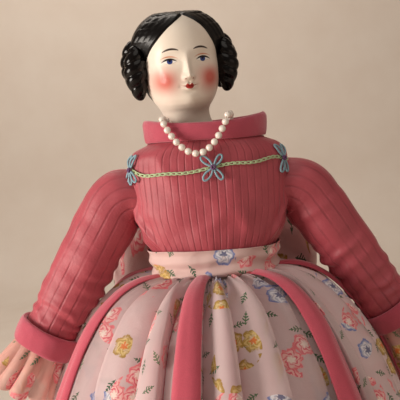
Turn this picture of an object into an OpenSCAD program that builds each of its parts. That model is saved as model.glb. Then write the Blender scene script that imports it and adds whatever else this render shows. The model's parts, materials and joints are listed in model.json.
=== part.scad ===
// Glazed china shoulder-head doll on a stuffed cloth body, dressed for display.
// Millimetres. +Z is up, the doll faces -Y, and her own left side is +X.
// The origin is on the floor, under the middle of the skirt's hem.

/* [Stance] */
// Height of the waist seam above the soles
waist_z = 205; // [190:1:246]
// Drop from the waist seam to the hip joints
hip_drop = 28; // [26:1:34]
// Height of the knee joints above the soles
knee_z = 92; // [84:1:111]
// Distance of each hip joint from the middle
hip_x = 16.5; // [16.5:0.5:20]

/* [Dressed torso] */
// Rise from the waist seam to the fullest part of the chest
chest_rise = 36; // [31:1:42]
// Rise from the waist seam to the shoulder joints
shoulder_rise = 46; // [42:1:52]
// Rise from the waist seam to the neckline
neck_rise = 75; // [70:1:90]
// Width of the dressed waist
waist_w = 70; // [64:1:80]
// Depth of the dressed waist
waist_d = 59; // [56:1:68]
// Width of the dressed chest between the armholes
chest_w = 93; // [86:1:104]
// Depth of the dressed chest
chest_d = 63; // [58:1:72]
// Width of the neckline
neckline_w = 66; // [60:1:72]
// Depth of the neckline
neckline_d = 55; // [50:1:60]
// Thickness of the bodice cloth with its lining
bodice_t = 1.2; // [0.8:0.1:2]

/* [Shoulder head] */
// Height of the neck below the chin
neck_h = 23; // [20:0.5:28]
// Height from chin to crown
head_h = 50.5; // [44:0.5:58]
// Radius of the neck
neck_r = 13.2; // [11:0.1:14.5]
// Thickness of the porcelain
china_t = 2.5; // [2:0.1:3]
// Sideways lean of the head, in degrees
head_lean = 3.5; // [0:0.5:6]
// Turn of the head towards the doll's left, in degrees
head_turn = 10; // [0:0.5:12]
// Nod of the face towards the chest, in degrees
head_nod = 8; // [0:0.5:10]
// Sideways set of the shoulder head in the dress
head_shift = 5.5; // [0:0.5:6]
// Number of moulded ringlets round the back of the head
ringlets = 13; // [9:1:15]
// Radius of a moulded ringlet
ringlet_r = 6.4; // [5:0.1:7.5]

/* [Arms] */
// Angle of the hanging arms from upright, in degrees
arm_tilt = 32; // [32:1:40]
// Length from the shoulder joint to the elbow joint
upper_arm_l = 48; // [40:1:58]
// Length from the elbow joint to the wrist
forearm_l = 50; // [42:1:60]
// Length of the leather hand
hand_l = 32; // [26:1:38]
// Radius of the stuffed upper arm
arm_r = 11; // [9:0.1:12]
// Radius of the wrist
wrist_r = 5; // [4:0.1:6]
// Radius of the sleeve at the shoulder
sleeve_r = 16.4; // [14.5:0.1:17]
// Radius of the sleeve at its end
sleeve_end_r = 14.6; // [13:0.1:15.5]
// Width of the turned-back cuff
cuff_w = 13; // [10:0.5:16]
// Thickness of the turned-back cuff
cuff_t = 3.6; // [2:0.1:4]
// Length of the wrist frill below the cuff
frill_l = 27; // [20:1:30]

/* [Legs] */
// Radius of the stuffed thigh at the hip
thigh_r = 11.4; // [9:0.1:12]
// Radius of the stuffed leg at the knee
knee_r = 9.6; // [8:0.1:10.5]
// Height of the china shin's top rim above the sole
shin_top = 60; // [52:1:66]
// Length of the moulded boot
boot_l = 27; // [22:1:30]
// Width of the moulded boot
boot_w = 10.5; // [9:0.5:12]

/* [Skirts] */
// Radius of the skirt's hem
hem_r = 132; // [124:1:158]
// Reach of the skirt's rounded top, where it turns downwards
skirt_top_r = 84; // [78:1:86]
// Reach of the skirt's middle, which sets how straight its sides are
skirt_mid_r = 100; // [90:1:102]
// Radius of the skirt at the waist seam
skirt_waist_r = 28.8; // [27.5:0.1:28.9]
// Thickness of one skirt layer
skirt_t = 1.2; // [0.8:0.1:1.6]
// Gap between two skirt layers
layer_gap = 0.7; // [0.5:0.1:1]
// Number of plain bands let into the skirt
bands = 7; // [4:1:10]
// Angle that each band covers, in degrees
band_angle = 9.6; // [6:0.2:16]

/* [Trimmings] */
// Width of the sash ribbon
sash_w = 15; // [12:0.5:20]
// Height of the standing collar
collar_h = 12.4; // [10:0.2:15]
// Thickness of the standing collar
collar_t = 3.6; // [2:0.1:4.5]
// Radius of a pearl
pearl_r = 2; // [1.5:0.1:2.4]
// How far the pearls hang below the collar's top
pearl_drop = 21; // [16:0.5:24]
// Radius of the embroidered vine
vine_r = 0.9; // [0.6:0.1:1.2]
// Length of an embroidered petal
petal_l = 6.4; // [5:0.2:8]

/* [Joint limits] */
// Furthest bend of the elbow, in degrees
elbow_bend = 70; // [40:5:80]
// Furthest bend of the knee, in degrees
knee_bend = 70; // [40:5:80]

/* [Hidden] */
$fn = 48;

fit = 0.3;              // clearance between neighbouring pieces
cloth_gap = 0.4;        // air between two layers of cloth
chin_z = waist_z + neck_rise + neck_h;
crown_z = chin_z + head_h;
neckline_z = waist_z + neck_rise;
collar_top = neckline_z + fit + collar_h;
hip_z = waist_z - hip_drop;
shoulder_z = waist_z + shoulder_rise;
armhole_x = chest_w / 2 + fit;
shoulder_x = armhole_x + 6.2;
sides = 40;             // facets round the dressed torso

// ---- shared shapes -------------------------------------------------------------------------

function unit(v) = v / norm(v);

// Point of a rounded oval with half-width a and half-depth b, at angle t.
oval_power = 2.3;
function rounded(c) = sign(c) * pow(abs(c), 2 / oval_power);
function oval(a, b, t, z) = [a * rounded(cos(t)), b * rounded(sin(t)), z];
function oval_ring(a, b, z) = [for (i = [0 : sides - 1]) oval(a, b, 360 * i / sides, z)];

// Closed solid through rings of equal length, from the lowest ring to the highest.
module loft(rings) {
    n = len(rings[0]);
    top = (len(rings) - 1) * n;
    walls = [for (j = [0 : len(rings) - 2], i = [0 : n - 1])
        let (a = j * n + i, b = j * n + (i + 1) % n)
        each [[a, a + n, b + n], [a, b + n, b]]];
    polyhedron(
        points = [for (r = rings) each r],
        faces = concat([[for (i = [0 : n - 1]) i]], walls, [[for (i = [n - 1 : -1 : 0]) top + i]]),
        convexity = 6);
}

// Ring of a round thread at point p, running along d, with "out" pointing off the cloth.
function thread_ring(p, d, out, r, n) = let (u = unit(cross(d, out)), v = cross(unit(d), u))
    [for (i = [0 : n - 1]) p + r * (cos(360 * i / n) * u + sin(360 * i / n) * v)];

// Closed loop of thread: the last ring joins the first.
module thread_loop(rings) {
    n = len(rings[0]);
    m = len(rings);
    polyhedron(
        points = [for (r = rings) each r],
        faces = [for (j = [0 : m - 1], i = [0 : n - 1])
            let (a = j * n + i, b = j * n + (i + 1) % n, c = ((j + 1) % m) * n + i,
                d = ((j + 1) % m) * n + (i + 1) % n)
            each [[a, c, d], [a, d, b]]],
        convexity = 6);
}

// Draws the left-hand piece as it is, or its mirror image for the right.
module on_side(side) {
    mirror([side < 0 ? 1 : 0, 0, 0]) children();
}

// Turns +Z onto direction v.
module along(v) {
    rotate([0, acos(v.z / norm(v)), atan2(v.y, v.x)]) children();
}

module tube(r, inner, h) {
    difference() {
        cylinder(r = r, h = h);
        translate([0, 0, -1]) cylinder(r = inner, h = h + 2);
    }
}

// ---- dressed torso -------------------------------------------------------------------------

shoulder_slope_z = neckline_z - 10;
torso_half_w = [[waist_z, waist_w / 2 - 0.6], [waist_z + 12, waist_w / 2 + 0.4],
    [waist_z + chest_rise, chest_w / 2 - 1], [shoulder_z + 13, chest_w / 2],
    [shoulder_slope_z, chest_w / 2 - 2.4], [neckline_z, neckline_w / 2]];
torso_half_d = [[waist_z, waist_d / 2 - 0.6], [waist_z + 12, waist_d / 2 + 0.4],
    [waist_z + chest_rise, chest_d / 2], [shoulder_z + 13, chest_d / 2 - 1.5],
    [neckline_z, neckline_d / 2]];
torso_levels = [for (s = torso_half_w) s[0]];

// Point on the bodice at angle t and height z, "out" proud of it.
function bodice_point(t, z, out = 0) =
    oval(lookup(z, torso_half_w) + out, lookup(z, torso_half_d) + out, t, z);
function bodice_normal(t, z) = let (u = bodice_point(t + 1, z) - bodice_point(t - 1, z))
    unit([u.y, -u.x, 0]);
function bodice_ring(z, out = 0, at = undef) =
    [for (i = [0 : sides - 1]) let (p = bodice_point(360 * i / sides, z, out))
        [p.x, p.y, is_undef(at) ? z : at]];

module bodice_solid(out = 0, below = 0, above = 0) {
    loft(concat([bodice_ring(waist_z, out, waist_z - below)],
        [for (i = [1 : len(torso_levels) - 2]) bodice_ring(torso_levels[i], out)],
        [bodice_ring(neckline_z, out, neckline_z + above)]));
}

tab_r = 6;              // flattened end of the stuffed arm, sewn to the torso
module armhole_bores(r) {
    for (side = [-1, 1])
        translate([0, 0, shoulder_z]) rotate([0, 90 * side, 0]) cylinder(r = r, h = chest_w);
}

seam_z = waist_z + 2.5; // where the bodice meets the skirt's waistband, under the sash
module bodice() {
    color("#b5525c") difference() {
        bodice_solid();
        bodice_solid(out = -bodice_t, below = 1, above = 1);
        armhole_bores(tab_r + fit);
        translate([0, 0, waist_z - 50 + (seam_z - waist_z)]) cube([200, 200, 100], center = true);
    }
}

// ---- shoulder plate and head ---------------------------------------------------------------

plate_levels = [[neckline_z - 20, 35, 24.5], [neckline_z - 12, 33, 23.5], [neckline_z - 5, 26, 20],
    [neckline_z, neck_r + 5, neck_r + 3.5], [neckline_z + 5, neck_r + 0.6, neck_r + 0.4]];
module plate_solid(out = 0, below = 0, above = 0) {
    last = len(plate_levels) - 1;
    translate([-head_shift, 0, 0])
        loft([for (i = [0 : last]) let (s = plate_levels[i])
            oval_ring(s[1] + out, s[2] + out, s[0] + (i == 0 ? -below : i == last ? above : 0))]);
}

// Sewing holes near the plate's front and back edges.
tie_r = 0.9;
tie_x = 17;
tie_z = neckline_z - 15.5;
module at_ties() {
    for (x = [-tie_x, tie_x], y = [-1, 1])
        translate([x - head_shift, 0, tie_z]) rotate([-90 * y, 0, 0]) children();
}

module head_place() {
    translate([-head_shift, 0, neckline_z]) rotate([0, -head_lean, 0]) rotate([0, 0, head_turn])
        translate([0, 0, -neckline_z]) children();
}
module nodded() {
    pivot = chin_z - 6;     // top of the neck
    translate([0, 0, pivot]) rotate([head_nod, 0, 0]) translate([0, 0, -pivot]) children();
}

face_r = 17.2;
cranium_r = 19.8;
hair_r = 22.3;
hair_puff = 6.5;        // how far the hair's sides stand out beyond a ball
head_mid_z = crown_z - hair_r;
module skull() {
    hull() {
        translate([0, 1, head_mid_z + 1.5]) sphere(r = cranium_r, $fn = 28);
        translate([0, -3.5, chin_z + face_r + 1]) sphere(r = face_r, $fn = 28);
        translate([0, -13.5, chin_z + 6.5]) sphere(r = 6.5, $fn = 20);
    }
}

module nose() {
    hull() {
        translate([0, -20.2, chin_z + 25]) sphere(r = 1.6, $fn = 12);
        translate([0, -23.2, chin_z + 14.6]) sphere(r = 2.2, $fn = 12);
    }
}

ringlet_top = chin_z + 28;
ringlet_foot = chin_z + 11;
ringlet_span = 208;     // angle that the ringlets cover round the back
module ringlets_round_back() {
    for (i = [0 : ringlets - 1]) {
        t = 90 - ringlet_span / 2 + ringlet_span * i / (ringlets - 1);
        lift = 3 * sin(t);
        hull() {
            translate([27.5 * cos(t), 3 + 22 * sin(t), ringlet_top + lift])
                sphere(r = ringlet_r * 0.9, $fn = 14);
            translate([26 * cos(t), 3 + 21.5 * sin(t), ringlet_foot + lift])
                sphere(r = ringlet_r, $fn = 14);
        }
    }
}

module head_outside() {
    nodded() {
        skull();
        nose();
        hull() for (x = [-hair_puff, hair_puff])
            translate([x, 3.6, head_mid_z]) sphere(r = hair_r, $fn = 32);
        ringlets_round_back();
    }
    hull() {
        translate([0, 0, neckline_z + 4]) cylinder(r = neck_r, h = 1, $fn = 40);
        translate([0, 1, chin_z + 9]) cylinder(r = neck_r - 1, h = 1, $fn = 40);
    }
}

module shoulder_head() {
    color("#efe4d6") difference() {
        union() {
            plate_solid();
            head_place() head_outside();
        }
        plate_solid(out = -china_t, below = 1, above = 1);
        head_place() {
            hull() {
                translate([0, 0, neckline_z]) cylinder(r = neck_r - china_t - 1.4, h = 1, $fn = 32);
                translate([0, 1, chin_z + 12]) cylinder(r = neck_r - china_t - 2, h = 1, $fn = 32);
            }
            nodded() hull() {
                translate([0, 1.5, head_mid_z + 1]) sphere(r = cranium_r - china_t, $fn = 24);
                translate([0, 0, chin_z + face_r]) sphere(r = face_r - china_t - 1, $fn = 24);
            }
        }
        at_ties() cylinder(r = tie_r + fit, h = 40, $fn = 20);
    }
}

plate_face_y = plate_levels[1][2];
module sew_ties() {
    color("#d8cdb4") at_ties() {
        translate([0, 0, plate_face_y - china_t - 2.1]) cylinder(r = tie_r, h = china_t + 2.2, $fn = 20);
        translate([0, 0, plate_face_y]) cylinder(r1 = tie_r + 0.9, r2 = tie_r, h = 1.1, $fn = 20);
    }
}

// ---- stuffed torso -------------------------------------------------------------------------

roll_r = thigh_r + 0.7; // rolled top of each stuffed leg, hinged under the torso
torso_foot = hip_z + roll_r + fit;
core_inset = bodice_t + cloth_gap;
hip_half_w = hip_x + 13.5;
hip_half_d = 19;
waist_core_w = skirt_waist_r - 5.2;
waist_core_d = skirt_waist_r - 7;
torso_top = neckline_z - 12;
core_half_w = [[torso_foot, hip_half_w - 4], [torso_foot + 5, hip_half_w], [waist_z - 6, waist_core_w]];
core_half_d = [[torso_foot, hip_half_d - 3], [torso_foot + 5, hip_half_d], [waist_z - 6, waist_core_d]];
function core_ring(z, out = 0, at = undef) =
    oval_ring(lookup(z, core_half_w) + out, lookup(z, core_half_d) + out, is_undef(at) ? z : at);
module torso() {
    color("#e8dcc4") difference() {
        union() {
            loft([core_ring(torso_foot), core_ring(torso_foot + 5), core_ring(waist_z - 6),
                core_ring(waist_z - 6, 0, waist_z + 6),
                bodice_ring(waist_z + chest_rise, -core_inset),
                bodice_ring(shoulder_z + 13, -core_inset),
                bodice_ring(torso_top, -core_inset - 3)]);
        }
        difference() {
            plate_solid(out = fit, below = fit, above = 2);
            plate_solid(out = -china_t - fit, below = 1);
        }
        at_ties() translate([0, 0, 4]) cylinder(r = tie_r + 0.9 + fit, h = 40, $fn = 20);
    }
}

// ---- collar, closure and embroidery --------------------------------------------------------

collar_a = neckline_w / 2 + 2.8;
collar_b = neckline_d / 2 + 2.4;
module collar() {
    soft = collar_t / 2 - 0.2;
    color("#b34a57") difference() {
        loft([oval_ring(collar_a - 0.6, collar_b - 0.6, neckline_z + fit),
            oval_ring(collar_a, collar_b, neckline_z + fit + soft),
            oval_ring(collar_a, collar_b, collar_top - soft),
            oval_ring(collar_a - 0.9, collar_b - 0.9, collar_top)]);
        loft([oval_ring(collar_a - collar_t, collar_b - collar_t, neckline_z - 1),
            oval_ring(collar_a - collar_t, collar_b - collar_t, collar_top + 1)]);
    }
}

buttons = 4;
button_r = 2.1;
module back_buttons() {
    color("#f4ead9") for (i = [0 : buttons - 1]) {
        z = seam_z + 18 + i * (neckline_z - seam_z - 24) / (buttons - 1);
        p = bodice_point(90, z, 0.35);
        translate([0, p.y, z]) rotate([-90, 0, 0]) difference() {
            cylinder(r = button_r, h = 1.1, $fn = 24);
            for (x = [-0.6, 0.6]) translate([x, 0, -1]) cylinder(r = 0.3, h = 3, $fn = 16);
        }
    }
}

vine_z = shoulder_z + 13.5;
vine_wave = 2.8;
vine_reach = 68;        // angle to each side of the front that the vine covers
function vine_height(t) = vine_z + vine_wave * sin(1.75 * (t - 270));
module vine_stitch() {
    steps = 30;
    rings = [for (i = [0 : steps])
        let (t = 270 - vine_reach + 2 * vine_reach * i / steps,
            p = bodice_point(t, vine_height(t), vine_r + 0.1),
            q = bodice_point(t + 0.5, vine_height(t + 0.5), vine_r + 0.1))
        thread_ring(p, q - p, [0, 0, 1], vine_r, 8)];
    color("#a5b48a") loft(rings);
}

// Angle round the chest of each embroidered flower, and its petals' directions.
flowers = [[270 - 60, [72, 108, 236, 270, 304]], [272, [50, 130, 235, 305]],
    [270 + 60, [66, 114, 250, 290]]];
petal_r = 0.42;
petal_w = 2.6;
petal_start = 1.9;
knot_r = 1.35;
knot_proud = 2 * vine_r + 0.3;

// Point of an embroidered flower, u sideways and v upward on the bodice from its middle.
function stitch_point(t0, u, v, out) =
    let (z0 = vine_height(t0), step = norm(bodice_point(t0 + 1, z0) - bodice_point(t0 - 1, z0)) / 2)
    bodice_point(t0 + u / step, z0 + v, out);
function petal_at(t0, turn, s) = let (along_petal = petal_start + petal_l * (1 - cos(s)) / 2,
        across = petal_w / 2 * sin(s) * (0.72 - 0.28 * cos(s)))
    stitch_point(t0, along_petal * cos(turn) - across * sin(turn),
        along_petal * sin(turn) + across * cos(turn), 2 * vine_r + petal_r + 0.35);
module flower_petals() {
    loop_points = 12;
    color("#6f8f9b") for (f = flowers) for (turn = f[1]) {
        rings = [for (i = [0 : loop_points - 1])
            let (s = 360 * i / loop_points, p = petal_at(f[0], turn, s),
                q = petal_at(f[0], turn, s + 5))
            thread_ring(p, q - p, bodice_normal(f[0], vine_z), petal_r, 6)];
        thread_loop(rings);
    }
}

module flower_knots() {
    color("#5a2a5e") for (f = flowers) {
        p = stitch_point(f[0], 0, 0, knot_proud + knot_r * 0.6);
        translate(p) along(bodice_normal(f[0], vine_z)) rotate_extrude($fn = 24)
            polygon([[0, -0.6 * knot_r], [knot_r, -0.6 * knot_r], [knot_r, 0.2 * knot_r],
                [0.6 * knot_r, 0.7 * knot_r], [0, 0.8 * knot_r]]);
    }
}

// ---- pearl necklace ------------------------------------------------------------------------

strand_half = 31;       // angle to each side of the front where the strand crosses the collar
strand_turn = 9;        // angle that the strand has slipped towards the doll's right
strand_cross = 22;      // angle over which it then passes in over the collar
strand_steps = 120;
thread_r = 0.15;
pearl_bore = 0.95;
function oval_reach(a, b, f) = 1 / sqrt(pow(sin(f) / a, 2) + pow(cos(f) / b, 2));
function ease(x) = let (c = min(1, max(0, x))) c * c * (3 - 2 * c);
function strand_r(f) = let (
        outside = oval_reach(collar_a + pearl_r + 1.7, collar_b + pearl_r + 1.7, f - strand_turn),
        inside = neck_r + pearl_r + 2.2 + head_shift,
        share = ease((abs(f) - strand_half + 4) / strand_cross))
    outside + (inside - outside) * share;
function strand_z(f) = collar_top + pearl_r + 0.6
    - (abs(f) < strand_half ? pearl_drop * (1 - pow(f / strand_half, 2)) : 0);
function strand(f) = let (g = f > 180 ? f - 360 : f)
    [strand_r(g) * sin(g - strand_turn), -strand_r(g) * cos(g - strand_turn), strand_z(g)];
strand_lengths = [for (i = 0, s = 0; i <= strand_steps;
    s = s + norm(strand(360 * (i + 1) / strand_steps) - strand(360 * i / strand_steps)), i = i + 1)
    [s, 360 * i / strand_steps]];
strand_total = strand_lengths[strand_steps][0];
pearl_count = 2 * floor(strand_total / (2 * pearl_r + 0.15) / 2);
function strand_at(k) = strand(lookup((k + 0.5) * strand_total / pearl_count, strand_lengths));
function strand_run(k) = strand_at((k + 1) % pearl_count) - strand_at((k + pearl_count - 1) % pearl_count);
clasp_k = pearl_count / 2;

module pearls() {
    color("#f1e8da") for (k = [0 : pearl_count - 1]) if (k != clasp_k)
        translate(strand_at(k)) along(strand_run(k)) difference() {
            sphere(r = pearl_r, $fn = 24);
            cylinder(r = pearl_bore, h = 3 * pearl_r, center = true, $fn = 16);
        }
}

module necklace_thread() {
    rings = [for (k = [0 : pearl_count - 1])
        let (p = strand_at(k))
        thread_ring(p, strand_run(k), unit([p.x, p.y, 0]), thread_r, 6)];
    color("#efe9dc") thread_loop(rings);
}

module necklace_clasp() {
    color("#c9a25a") translate(strand_at(clasp_k)) along(strand_run(clasp_k)) difference() {
        cylinder(r = 1.5, h = 3.6, center = true, $fn = 24);
        cylinder(r = pearl_bore, h = 8, center = true, $fn = 16);
    }
}

// ---- sash and bow --------------------------------------------------------------------------

sash_foot = seam_z - 2.5;
sash_t = 1;
sash_out = 0.25;
module sash_solid(out, below) {
    loft([bodice_ring(waist_z, out, sash_foot - below), bodice_ring(waist_z, out, waist_z),
        bodice_ring(waist_z + 6, out), bodice_ring(sash_foot + sash_w, out, sash_foot + sash_w + below)]);
}

module sash() {
    color("#e6c3b8") difference() {
        sash_solid(sash_out + sash_t, 0);
        sash_solid(sash_out, 1);
    }
}

sash_back_y = waist_d / 2 + sash_out + sash_t + 0.6;
knot_mid = [0, sash_back_y + 5.2, sash_foot + sash_w / 2 + 2.5];
knot_half_w = 5.5;
bow_knot_r = 4.4;
module bow_knot() {
    color("#e3bdb4") hull() for (x = [-1, 1], z = [-1, 1])
        translate(knot_mid + [x * (knot_half_w - 3.4), 0, z * 3.6]) sphere(r = bow_knot_r, $fn = 20);
}

module bow_loop(side) {
    root_x = knot_half_w + bow_knot_r;
    color("#e9cdc4") on_side(side) hull() {
        translate(knot_mid + [root_x, 0, 0]) sphere(r = 3, $fn = 16);
        translate(knot_mid + [36, 2.5, 4]) scale([1, 0.5, 1.1]) sphere(r = 12, $fn = 24);
        translate(knot_mid + [50, 1, 2]) scale([0.6, 0.6, 1]) sphere(r = 12, $fn = 24);
    }
}

tail_angle = 11;
tail_out = 1.2;
module bow_tail(side) {
    color("#e6c8be") on_side(side) rotate([0, 0, 90 - 5 - tail_angle])
        rotate_extrude(angle = tail_angle, $fn = 96) skirt_section(tail_out, -0.8, tail_start, tail_end);
}

// ---- skirts --------------------------------------------------------------------------------

skirt_top = seam_z - 0.2 - 3.6;
// Bell outline from the waist (s = 0) to the hem (s = 1), a cubic curve.
bell = [[skirt_waist_r, skirt_top], [skirt_top_r, skirt_top + 4.6], [skirt_mid_r, 0.57 * skirt_top],
    [hem_r, 0]];
function bell_point(s) = pow(1 - s, 3) * bell[0] + 3 * pow(1 - s, 2) * s * bell[1]
    + 3 * (1 - s) * s * s * bell[2] + pow(s, 3) * bell[3];
function bell_off(s, out) = let (d = unit(bell_point(min(1, s + 0.01)) - bell_point(max(0, s - 0.01))),
        p = bell_point(s) + out * [-d[1], d[0]])
    [max(p[0], 1), max(p[1], 0)];
bell_steps = 14;
tail_start = 0.12;
tail_end = 0.66;
// Section of a layer whose outer face is "out" proud of the bell, "depth" thick, from s0 to s1.
module skirt_section(out, depth, s0, s1) {
    polygon(concat(
        [for (i = [0 : bell_steps]) bell_off(s0 + (s1 - s0) * i / bell_steps, out)],
        [for (i = [bell_steps : -1 : 0]) bell_off(s0 + (s1 - s0) * i / bell_steps, out + depth)]));
}

module skirt_layer(out, depth, s0, s1) {
    rotate_extrude($fn = 96) skirt_section(out, depth, s0, s1);
}

layer = skirt_t + layer_gap;
module skirt() {
    color("#e2b9b3") skirt_layer(0, -skirt_t, 0, 1);
}

module skirt_bands() {
    color("#b8505a") for (k = [0 : bands - 1])
        rotate([0, 0, 270 - band_angle / 2 + 360 * k / bands])
            rotate_extrude(angle = band_angle, $fn = 96) skirt_section(0.9, -0.75, 0.1, 0.985);
}

module underskirt() {
    color("#b9757a") skirt_layer(-layer, -skirt_t, 0, 0.99);
}

module petticoat() {
    color("#f3efe6") skirt_layer(-2 * layer, -skirt_t, 0, 0.985);
}

band_clear = 0.25;
skirt_band_in = skirt_waist_r - 1.9;
module skirt_waistband() {
    color("#dcaea8") translate([0, 0, skirt_top + 0.9])
        tube(skirt_waist_r, skirt_band_in, seam_z - skirt_top - 1.1);
}

module petticoat_waistband() {
    outer = skirt_band_in - band_clear;
    color("#efeadf") translate([0, 0, skirt_top - 4]) tube(outer, outer - 1.4, 7);
}

yoke_in = 0.4;
yoke_t = 1.1;
module drawers_yoke() {
    foot = torso_foot + 2;
    bend = torso_foot + 5;
    top = waist_z - 7;
    color("#f5f2ea") difference() {
        loft([core_ring(foot, yoke_in + yoke_t), core_ring(bend, yoke_in + yoke_t),
            core_ring(top, yoke_in + yoke_t)]);
        loft([core_ring(foot, yoke_in, foot - 1), core_ring(bend, yoke_in),
            core_ring(top, yoke_in, top + 0.01), core_ring(top, yoke_in, top + 1)]);
    }
}

// ---- arms ----------------------------------------------------------------------------------
// Each arm is drawn hanging straight down from its shoulder joint, then tilted outward.

module arm_place(side) {
    on_side(side) translate([shoulder_x, 0, shoulder_z]) rotate([0, -arm_tilt, 0]) children();
}

// Outer end of the torso's core at the shoulder, where the flattened end of the arm is sewn on.
arm_tab_x = lookup(shoulder_z, torso_half_w) - core_inset + fit;
elbow_s = -upper_arm_l;
wrist_s = -(upper_arm_l + forearm_l);
elbow_r = arm_r - 1;
sleeve_mid_r = (sleeve_r + sleeve_end_r) / 2;
cuff_top = wrist_s + cuff_w - 1;
far = crown_z;          // longer than any arm or leg

// Half space above (up = 1) or below (up = -1) a joint at height z. Its front, or its back
// where front = -1, is cut back by half the joint's bend, so that the two halves can fold.
module joint_side(z, up, bend, front = 1) {
    translate([0, 0, z]) difference() {
        translate([0, 0, up * (far / 2 + fit / 2)]) cube([far, far, far], center = true);
        rotate([-up * front * bend / 2, 0, 0])
            translate([0, -front * far / 2, up * (fit / 2 - far / 2)])
                cube([2 * far, far, far], center = true);
    }
}

module upper_arm(side) {
    color("#e8dcc4") {
        difference() {
            intersection() {
                arm_place(side) {
                    sphere(r = arm_r);
                    translate([0, 0, elbow_s]) cylinder(r1 = elbow_r, r2 = arm_r - 0.2, h = upper_arm_l);
                }
                on_side(side) translate([armhole_x + fit, -far, 0]) cube([2 * far, 2 * far, 500]);
                arm_place(side) joint_side(elbow_s, 1, elbow_bend);
            }
            arm_place(side) translate([0, 0, elbow_s]) sphere(r = elbow_r + fit);
        }
        on_side(side) translate([arm_tab_x, 0, shoulder_z])
            rotate([0, 90, 0]) cylinder(r = tab_r, h = shoulder_x - 2 - arm_tab_x);
    }
}

module upper_sleeve(side) {
    color("#b4545e") difference() {
        intersection() {
            arm_place(side) {
                sphere(r = sleeve_r);
                translate([0, 0, elbow_s])
                    cylinder(r1 = sleeve_mid_r, r2 = sleeve_r - 0.15, h = upper_arm_l);
            }
            on_side(side) translate([armhole_x + fit, -far, 0]) cube([2 * far, 2 * far, 500]);
            arm_place(side) joint_side(elbow_s, 1, elbow_bend);
        }
        arm_place(side) {
            sphere(r = arm_r + cloth_gap);
            translate([0, 0, elbow_s - 5]) cylinder(r = arm_r + cloth_gap - 0.1, h = upper_arm_l + 5);
        }
        on_side(side) translate([0, 0, shoulder_z]) rotate([0, 90, 0])
            cylinder(r = arm_r + cloth_gap - 0.2, h = shoulder_x);
    }
}

// Forearm and hand of stitched leather, with the soft elbow ball at its top.
finger_r = 1.35;
finger_pitch = 2.65;
knuckle_s = wrist_s - hand_l * 0.42;
finger_curl = 1.6;      // how far the fingertips bend towards the palm

module limb(a, b, ra, rb) {
    hull() {
        translate(a) sphere(r = ra, $fn = 16);
        translate(b) sphere(r = rb, $fn = 16);
    }
}

module hand() {
    hull() {
        translate([0, 0, wrist_s + 2]) sphere(r = wrist_r, $fn = 24);
        for (y = [-1, 1]) translate([0, y * 3.7, knuckle_s]) sphere(r = 2.3, $fn = 16);
    }
    for (k = [-1.5 : 1.5]) {
        reach = hand_l * (0.52 - 0.05 * abs(k + 0.2));
        root = [0, k * finger_pitch, knuckle_s];
        bend = root + [0, k * 0.3, -reach * 0.55];
        limb(root, bend, finger_r + 0.1, finger_r);
        limb(bend, root + [-finger_curl, k * 0.4, -reach], finger_r, finger_r - 0.2);
    }
    limb([0, -3.4, wrist_s - 2], [-1.5, -7.4, wrist_s - hand_l * 0.5], finger_r + 0.5, finger_r);
}

module forearm(side) {
    color("#b98a52") arm_place(side) {
        intersection() {
            translate([0, 0, wrist_s]) cylinder(r1 = wrist_r, r2 = elbow_r - 0.1, h = forearm_l);
            joint_side(elbow_s, -1, elbow_bend);
        }
        translate([0, 0, elbow_s]) sphere(r = elbow_r);
        hand();
    }
}

module lower_sleeve(side) {
    length = elbow_s - cuff_top + cuff_w * 0.6;
    color("#b4545e") arm_place(side) difference() {
        intersection() {
            translate([0, 0, elbow_s - length])
                cylinder(r1 = sleeve_end_r, r2 = sleeve_mid_r, h = length + 0.1);
            joint_side(elbow_s, -1, elbow_bend);
        }
        translate([0, 0, elbow_s - length - 1]) cylinder(r = elbow_r + cloth_gap, h = length + 8);
        translate([0, 0, elbow_s]) sphere(r = arm_r + cloth_gap + 0.1);
    }
}

cuff_r = sleeve_end_r + 0.6 + cuff_t;
module cuff(side) {
    color("#b04553") arm_place(side) translate([0, 0, cuff_top - cuff_w]) rotate_extrude()
        polygon([[cuff_r - cuff_t, 0], [cuff_r - 0.8, 0], [cuff_r, 1.2], [cuff_r + 0.8, cuff_w - 1.4],
            [cuff_r, cuff_w], [cuff_r - cuff_t, cuff_w]]);
}

frill_top_r = cuff_r - cuff_t - fit;
frill_end_r = frill_top_r + 5.2;
frill_t = 0.9;
module frill(side) {
    inside = cuff_w * 0.4;  // how far the frill reaches up inside the cuff
    color("#dba79b") arm_place(side) translate([0, 0, cuff_top - cuff_w]) rotate_extrude()
        polygon([[frill_top_r, inside], [frill_top_r - frill_t, inside], [frill_top_r - frill_t, 0],
            [frill_end_r - frill_t, -frill_l], [frill_end_r, -frill_l], [frill_top_r, 0]]);
}

// ---- legs ----------------------------------------------------------------------------------

module leg_place(side) {
    on_side(side) translate([hip_x, 0, 0]) children();
}

module thigh(side) {
    color("#e8dcc4") leg_place(side) difference() {
        union() {
            translate([0.4 - thigh_r, 0, hip_z]) rotate([0, 90, 0])
                cylinder(r = roll_r, h = 2 * thigh_r - 0.8);
            intersection() {
                translate([0, 0, knee_z]) cylinder(r1 = knee_r, r2 = thigh_r, h = hip_z - knee_z);
                joint_side(knee_z, 1, knee_bend, -1);
            }
        }
        translate([0, 0, knee_z]) sphere(r = knee_r + fit);
    }
}

drawers_top = hip_z - roll_r - 1;
drawers_foot = knee_z + 12;
module drawers_leg(side) {
    color("#f5f2ea") leg_place(side) translate([0, 0, drawers_foot]) difference() {
        h = drawers_top - drawers_foot;
        cylinder(r1 = thigh_r + 3.8, r2 = thigh_r + 1.6, h = h);
        translate([0, 0, -0.01]) cylinder(r1 = thigh_r + 2.8, r2 = thigh_r + 0.5, h = h + 0.02);
    }
}

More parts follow.
